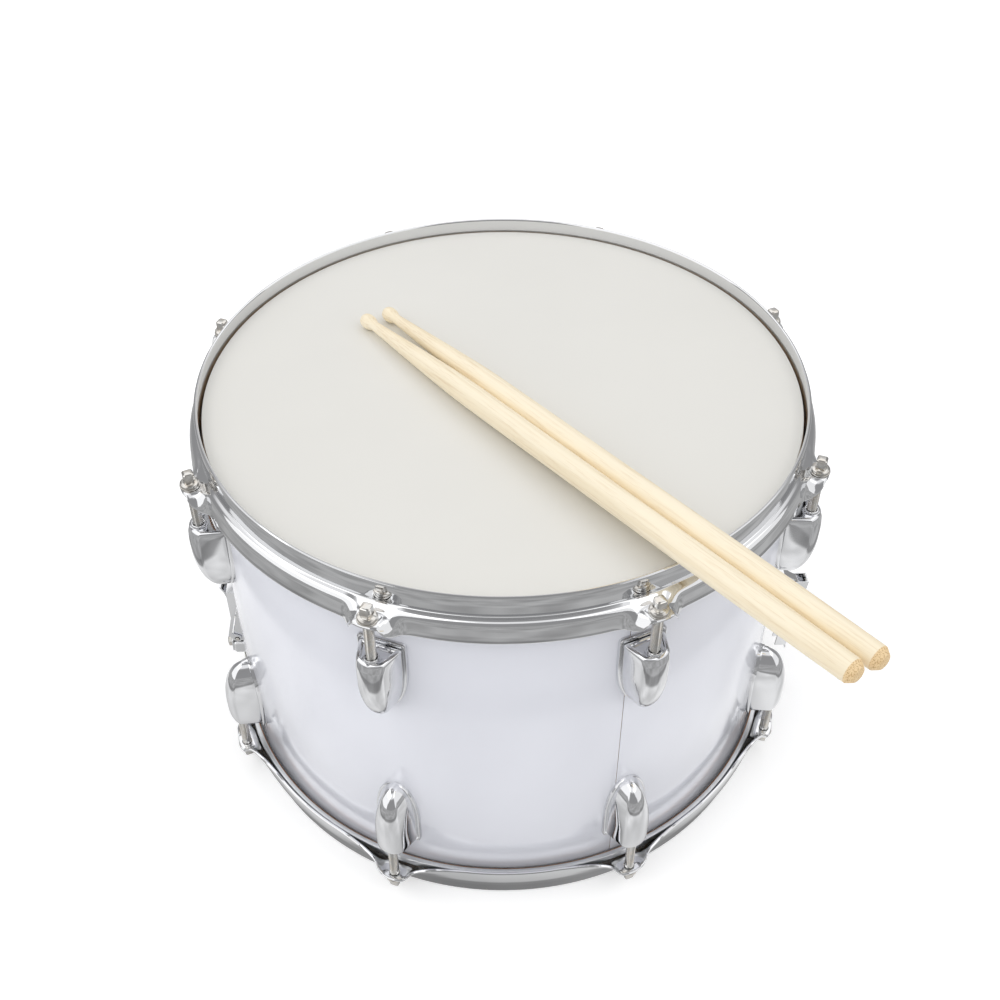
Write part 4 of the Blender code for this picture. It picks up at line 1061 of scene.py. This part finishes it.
@dataclass
class TensionRods:
    """Sixteen key rods, each with its collar, washer and threaded shank."""

    top: float = 261.7 * MM
    length: float = 57.0 * MM
    key: float = 6.0 * MM
    key_height: float = 6.5 * MM
    collar: float = 5.35 * MM
    collar_height: float = 1.9 * MM
    washer: float = 5.7 * MM
    washer_height: float = 1.0 * MM
    washer_bore: float = 3.2 * MM
    shank: float = 2.95 * MM
    thread_depth: float = 0.26 * MM
    pitch: float = 0.9 * MM
    plain: float = 6.0 * MM
    sides: int = 24

    def squircle(self, half: float, angle: float, sharp: float) -> float:
        """Radius of a rounded square at an angle."""
        c, s = abs(math.cos(angle)), abs(math.sin(angle))
        return half / (c**sharp + s**sharp) ** (1 / sharp)

    def head_rings(self) -> list[Ring]:
        """Rings of the key head and collar, from the top down to the shank."""
        half = self.key / 2
        foot = -self.key_height
        under = foot - self.collar_height
        rings = []
        for share, height in ((0.40, 0.0), (0.78, -0.12), (0.95, -0.5), (1.0, -1.1), (1.0, foot / MM + 0.5)):
            rings.append((lambda a, s=share: self.squircle(half * s, a, 7.0), height * MM))
        for radius, height in (
            (3.45 * MM, foot + 0.05 * MM),
            (self.collar - 1.1 * MM, foot - 0.1 * MM),
            (self.collar - 0.3 * MM, foot - 0.35 * MM),
            (self.collar, foot - 0.8 * MM),
            (self.collar, under + 0.3 * MM),
            (self.collar - 0.3 * MM, under),
            (self.shank, under - 0.05 * MM),
        ):
            rings.append((lambda a, r=radius: r, height))
        return [self.ring(radius_at, height) for radius_at, height in rings]

    def ring(self, radius_at: Callable[[float], float], height: float) -> Ring:
        """Points round the rod's axis at a height."""
        angles = [2 * math.pi * (i + 0.5) / self.sides for i in range(self.sides)]
        return [Vector((radius_at(a) * math.cos(a), radius_at(a) * math.sin(a), height)) for a in angles]

    def thread_rings(self) -> list[Ring]:
        """Rings of the threaded shank, cut as one long groove round it."""
        start = -self.key_height - self.collar_height - self.plain
        end = -self.length
        rings = [self.ring(lambda a: self.shank, start + 0.4 * MM)]
        count = int((start - end) / (self.pitch / 4))
        for i in range(count + 1):
            height = start + (end - start) * i / count
            fade = min(1.0, (height - end) / (1.2 * MM))

            def radius_at(angle: float, z: float = height, share: float = fade) -> float:
                phase = (z / self.pitch - angle / (2 * math.pi)) % 1.0
                groove = abs(2 * phase - 1)
                return self.shank - self.thread_depth * groove - 0.5 * MM * (1 - share)

            rings.append(self.ring(radius_at, height))
        return rings

    def build(self) -> None:
        """Turn one rod and fasten it at each of its places."""

        def build_all(bm: bmesh.types.BMesh) -> None:
            skin(bm, self.head_rings() + self.thread_rings())
            under = -self.key_height - self.collar_height
            washer = rounded(
                [
                    (self.washer_bore, under - 0.05 * MM, 0.1 * MM),
                    (self.washer, under - 0.05 * MM, 0.3 * MM),
                    (self.washer, under - self.washer_height, 0.3 * MM),
                    (self.washer_bore, under - self.washer_height, 0.1 * MM),
                ],
                2,
            )
            turn(bm, washer, 32)

        mesh = closed_mesh("rod_turned", build_all)
        for i, azimuth in enumerate(DRUM.lug_azimuths()):
            for head in Head:
                node = f"{head.value}_tension_rod_{i + 1}"
                place = DRUM.side_matrix(azimuth, head) @ Matrix.Translation((DRUM.rod_circle, 0, self.top))
                Piece(f"{node}_turned", ROD_NICKEL, "rod_nickel", body=node, node=node).add(mesh, place, 34)


@dataclass
class Snares:
    """Twenty coiled wires between two end plates, under the lower head."""

    count: int = 20
    radius: float = 0.9 * MM
    spacing: float = 2.4 * MM
    length: float = 296.0 * MM
    height: float = 7.3 * MM
    coil: float = 1.9 * MM
    plate_length: float = 20.0 * MM
    plate_width: float = 52.0 * MM
    plate_top: float = 6.805 * MM
    plate_thickness: float = 0.8 * MM

    def build_wires(self, bm: bmesh.types.BMesh) -> None:
        """Add the coiled wires."""
        turns = int(self.length / self.coil)
        for i in range(self.count):
            across = (i - (self.count - 1) / 2) * self.spacing
            rings = []
            for k in range(2 * turns + 1):
                along = self.length * (k / (2 * turns) - 0.5)
                reach = self.radius if k % 2 else 0.62 * self.radius
                angles = [2 * math.pi * j / 7 for j in range(7)]
                rings.append([Vector((along, across + reach * math.cos(a), self.height + reach * math.sin(a))) for a in angles])
            skin(bm, rings)

    def build_plates(self, bm: bmesh.types.BMesh) -> None:
        """Add the two end plates with rounded corners."""
        half = self.plate_width / 2
        for sign in (-1, 1):
            middle = sign * self.length / 2
            outline = rounded(
                [
                    (middle - self.plate_length / 2, -half, 2.5 * MM),
                    (middle + self.plate_length / 2, -half, 2.5 * MM),
                    (middle + self.plate_length / 2, half, 2.5 * MM),
                    (middle - self.plate_length / 2, half, 2.5 * MM),
                ],
                4,
            )
            low = self.plate_top - self.plate_thickness
            rings = []
            for height, step in ((low, 0.15), (low + 0.15 * MM, 0), (self.plate_top - 0.15 * MM, 0), (self.plate_top, 0.15)):
                rings.append([Vector((p.x, p.y, height)) for p in inset(outline, step * MM)])
            skin(bm, rings)

    def build(self) -> None:
        """Make the wires and plates, and finish the two straps."""

        def build_all(bm: bmesh.types.BMesh) -> None:
            self.build_wires(bm)
            self.build_plates(bm)

        mesh = closed_mesh("snare_wires", build_all)
        Piece("snare_set", SNARE_STEEL, "snare_steel", body="snares", node="snare_wires").add(mesh, sharp=50)
        for node in ("strainer_strap", "butt_strap"):
            dress_node(node, STRAP_PLASTIC, 0.1 * MM)


@dataclass
class Sticks:
    """Two maple sticks side by side, each tip on the head and each shaft on the rim."""

    length: float = 392.3 * MM
    radius: float = 7.3 * MM
    tip: float = 4.7 * MM
    tip_length: float = 12.5 * MM
    heading: float = math.radians(-52.7)
    crossing: float = -19.5 * MM
    spacing: float = 14.9 * MM
    tip_along: float = 98.4 * MM
    stagger: float = 2.6 * MM
    gap: float = 0.3 * MM
    steps: int = 48

    def outline(self) -> list[Vector]:
        """Section of a stick from the end of its tip to its butt, along its own Z."""
        tip = through([(0, 0), (1.5, 0.22), (3.2, 1.2), (4.35, 3.2), (4.7, 5.8), (4.35, 8.6), (3.5, 11.2), (3.1, 12.9)], 4)
        taper = through([(3.1, 12.9), (3.25, 16), (4.05, 32), (5.3, 55), (6.4, 79), (7.05, 97), (7.3, 112)], 4)
        butt = through([(7.3, 287.3), (7.2, 322), (6.98, 357), (6.7, 388.3)], 4)
        butt += [(6.62, 388.75), (6.4, 389.1), (4.5, 391.75), (4.15, 392.08), (3.7, 392.28), (0, 392.3)]
        shaft = [(7.3, z) for z in (160, 200, 240, 275)]
        top = self.length / MM
        return [Vector((r * MM, (top - z) * MM)) for r, z in tip + taper[1:] + shaft + butt]

    def place(self, sign: int) -> Matrix:
        """Frame at a stick's butt whose own Z runs to its tip."""
        along = Vector((math.cos(self.heading), math.sin(self.heading), 0))
        across = Vector((-math.sin(self.heading), math.cos(self.heading), 0))
        offset = self.crossing + sign * self.spacing / 2
        tip_at = -self.tip_along + sign * self.stagger / 2
        rim_at = math.sqrt(DRUM.rim_radius**2 - offset**2) - DRUM.steel
        low = DRUM.film_top + self.tip + self.gap
        climb = math.asin((DRUM.height + self.radius + 1.5 * self.gap - low) / (rim_at - tip_at))
        direction = along * math.cos(climb) + Vector((0, 0, math.sin(climb)))
        rest = across * offset + along * tip_at + Vector((0, 0, low))
        butt = rest + direction * (self.length - self.tip_length / 2)
        return Matrix.Translation(butt) @ (-direction).to_track_quat("Z", "Y").to_matrix().to_4x4()

    def build(self) -> None:
        """Turn both sticks."""
        for i, sign in enumerate((-1, 1)):
            name = f"stick_{i + 1}"
            mesh = closed_mesh(f"{name}_turned", lambda bm: turn(bm, self.outline(), self.steps))
            Piece(f"{name}_turned", STICK_WOOD, "stick_wood", body=f"{name}_body", node=name).add(mesh, self.place(sign), 60)


@dataclass
class Fittings:
    """Strainer on the left and snare butt on the right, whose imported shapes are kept."""

    chromed: tuple[str, ...] = (
        "strainer_base",
        "strainer_lever",
        "strainer_block",
        "strainer_clamp_plate",
        "butt_base",
        "butt_channel",
        "butt_clamp_bar",
    )
    nickelled: tuple[str, ...] = (
        "strainer_pin",
        "strainer_clamp_screw",
        "butt_clamp_screw_front",
        "butt_clamp_screw_back",
    )

    def build(self) -> None:
        """Finish every fitting."""
        for node in self.chromed:
            dress_node(node, FITTING_CHROME, 0.35 * MM)
        for node in self.nickelled:
            dress_node(node, ROD_NICKEL, 0.2 * MM)


@dataclass
class Studio:
    """Pale floor, plain soft light and the camera at the photograph's angle."""

    focal: float = 46.17
    elevation: float = math.radians(42.581)
    azimuth: float = math.radians(-1.561)
    distance: float = 826.371 * MM
    aim_across: float = -1.732 * MM
    aim_height: float = 168.691 * MM
    roll: float = math.radians(-0.238)
    lift: float = 0.28
    far_lift: float = 1.2
    lift_reach: Point = (0.45, 1.1)
    ring_reach: float = 1.0
    # Glow of the floor for glossy rays by distance from the axis, a painted reflection: the dark core under the drum is
    # a painted shadow.
    rings: tuple[Point, ...] = (
        (0.0, 0.26),
        (0.186, 0.30),
        (0.192, 0.70),
        (0.22, 0.85),
        (0.335, 0.85),
        (0.35, 0.34),
        (0.385, 0.30),
        (0.395, 0.45),
        (1.0, 0.44),
    )
    room_level: float = 1.0
    room: tuple[Point, ...] = ((0.0, 0.34), (0.50, 0.33), (0.60, 0.40), (0.68, 1.0), (0.92, 1.0), (0.96, 0.38), (1.0, 0.32))

    def build_floor(self) -> None:
        """Lay a white floor that keeps the drum's shadow."""
        half = FLOOR_SIZE / 2
        mesh = closed_mesh("floor", lambda bm: bmesh.ops.create_grid(bm, x_segments=1, y_segments=1, size=half))
        floor = bpy.data.objects.new("floor", mesh)
        bpy.context.scene.collection.objects.link(floor)
        floor.location.z = -0.2 * MM
        graph = Graph("floor_paper")
        graph.set(Base_Color=(0.93, 0.93, 0.93, 1.0), Roughness=0.9, Specular_IOR_Level=0.0)
        light_path = graph.node("ShaderNodeLightPath")
        graph.set(Emission_Color=(1.0, 1.0, 1.0, 1.0))
        distance = graph.node("ShaderNodeVectorMath", operation="LENGTH")
        graph.link(graph.place((1, 1, 0)), distance.inputs[0])
        far = graph.range(distance.outputs["Value"], self.lift, self.far_lift, self.lift_reach)
        lift = graph.node("ShaderNodeMath", operation="MULTIPLY")
        graph.link(light_path.outputs["Is Camera Ray"], lift.inputs[0])
        graph.link(far, lift.inputs[1])
        graph.link(lift.outputs["Value"], graph.shader.inputs["Emission Strength"])
        self.paint_floor_reflection(graph, light_path)
        floor.data.materials.append(graph.material)

    def paint_floor_reflection(self, graph: Graph, light_path: bpy.types.Node) -> None:
        """Paint the floor that metal sees: for glossy rays it glows pale round the drum, darkest under the drum as a
        painted shadow, with a dark ring about it and the greyer room beyond.
        """
        distance = graph.node("ShaderNodeVectorMath", operation="LENGTH")
        graph.link(graph.place((1, 1, 0)), distance.inputs[0])
        rings = [(r / self.ring_reach, (level,) * 3) for r, level in self.rings]
        # Painted reflection: the floor glows for glossy rays instead of reflecting real light.
        reflected_glow = graph.node("ShaderNodeEmission")
        spread = graph.range(distance.outputs["Value"], 0.0, 1.0, (0.0, self.ring_reach))
        uneven = graph.range(graph.noise(7.0, detail=2.0), 0.78, 1.2, (0.35, 0.65))
        graph.link(graph.ramp(spread, rings), reflected_glow.inputs["Color"])
        graph.link(uneven, reflected_glow.inputs["Strength"])
        mix = graph.node("ShaderNodeMixShader")
        output = graph.tree.nodes["Material Output"]
        graph.link(light_path.outputs["Is Glossy Ray"], mix.inputs["Fac"])
        graph.link(graph.shader.outputs["BSDF"], mix.inputs[1])
        graph.link(reflected_glow.outputs["Emission"], mix.inputs[2])
        graph.link(mix.outputs["Shader"], output.inputs["Surface"])

    def build_world(self) -> None:
        """Light the room softly from all sides, with a darker band above the horizon for metal to show."""
        world = bpy.data.worlds.new("studio")
        bpy.context.scene.world = world
        world.use_nodes = True
        tree = world.node_tree
        background = tree.nodes["Background"]
        coordinates = tree.nodes.new("ShaderNodeTexCoord")
        split = tree.nodes.new("ShaderNodeSeparateXYZ")
        ramp = tree.nodes.new("ShaderNodeValToRGB")
        tree.links.new(coordinates.outputs["Generated"], split.inputs["Vector"])
        tree.links.new(split.outputs["Z"], ramp.inputs["Fac"])
        elements = ramp.color_ramp.elements
        while len(elements) < len(self.room):
            elements.new(0.5)
        for element, (position, level) in zip(elements, self.room):
            element.position = position
            element.color = (level * self.room_level, level * self.room_level, level * self.room_level * 1.01, 1.0)
        light_path = tree.nodes.new("ShaderNodeLightPath")
        mix = tree.nodes.new("ShaderNodeMix")
        mix.data_type = "RGBA"
        tree.links.new(light_path.outputs["Is Camera Ray"], mix.inputs["Factor"])
        tree.links.new(ramp.outputs["Color"], mix.inputs["A"])
        mix.inputs["B"].default_value = (1.0, 1.0, 1.0, 1.0)
        tree.links.new(mix.outputs["Result"], background.inputs["Color"])

    def build_lamps(self) -> None:
        """Hang three soft boxes."""
        for name, place, size, power in (
            ("key", (-1.7, -0.8, 1.3), 3.0, 25.0),
            ("fill", (1.7, -0.8, 1.1), 2.8, 17.0),
            ("back", (0.0, 1.6, 1.5), 2.8, 8.0),
        ):
            light = bpy.data.lights.new(name, "AREA")
            light.size = size
            light.energy = power
            lamp = bpy.data.objects.new(name, light)
            bpy.context.scene.collection.objects.link(lamp)
            lamp.location = place
            lamp.rotation_euler = (Vector((0, 0, 0.13)) - Vector(place)).to_track_quat("-Z", "Y").to_euler()

    def build_camera(self) -> None:
        """Stand the camera where the photograph was taken."""
        a, e = self.azimuth, self.elevation
        back = Vector((math.sin(a) * math.cos(e), -math.cos(a) * math.cos(e), math.sin(e)))
        right = Vector((math.cos(a), math.sin(a), 0))
        up = back.cross(right)
        aim = right * self.aim_across + Vector((0, 0, self.aim_height))
        axes = Matrix((right, up, back)).transposed().to_4x4()
        data = bpy.data.cameras.new("camera")
        data.lens = self.focal
        data.sensor_width = 36.0
        camera = bpy.data.objects.new("camera", data)
        bpy.context.scene.collection.objects.link(camera)
        camera.matrix_world = Matrix.Translation(aim + back * self.distance) @ axes @ Matrix.Rotation(self.roll, 4, "Z")
        bpy.context.scene.camera = camera

    def build(self) -> None:
        """Set up the studio."""
        self.build_floor()
        self.build_world()
        self.build_lamps()
        self.build_camera()
        bpy.context.scene.view_settings.view_transform = "Standard"


def main() -> None:
    """Build the drum's sub-assemblies in order."""
    logging.basicConfig(level=logging.INFO, format="%(name)s: %(message)s")
    parts = [Shell(), DrumHead(Head.BATTER), DrumHead(Head.SNARE_SIDE), Hoop(Head.BATTER), Hoop(Head.SNARE_SIDE)]
    parts += [Lugs(), TensionRods(), Snares(), Fittings(), Sticks(), Studio()]
    for part in parts:
        part.build()
        LOG.info("finished %s", type(part).__name__)


if __name__ == "__main__":
    main()
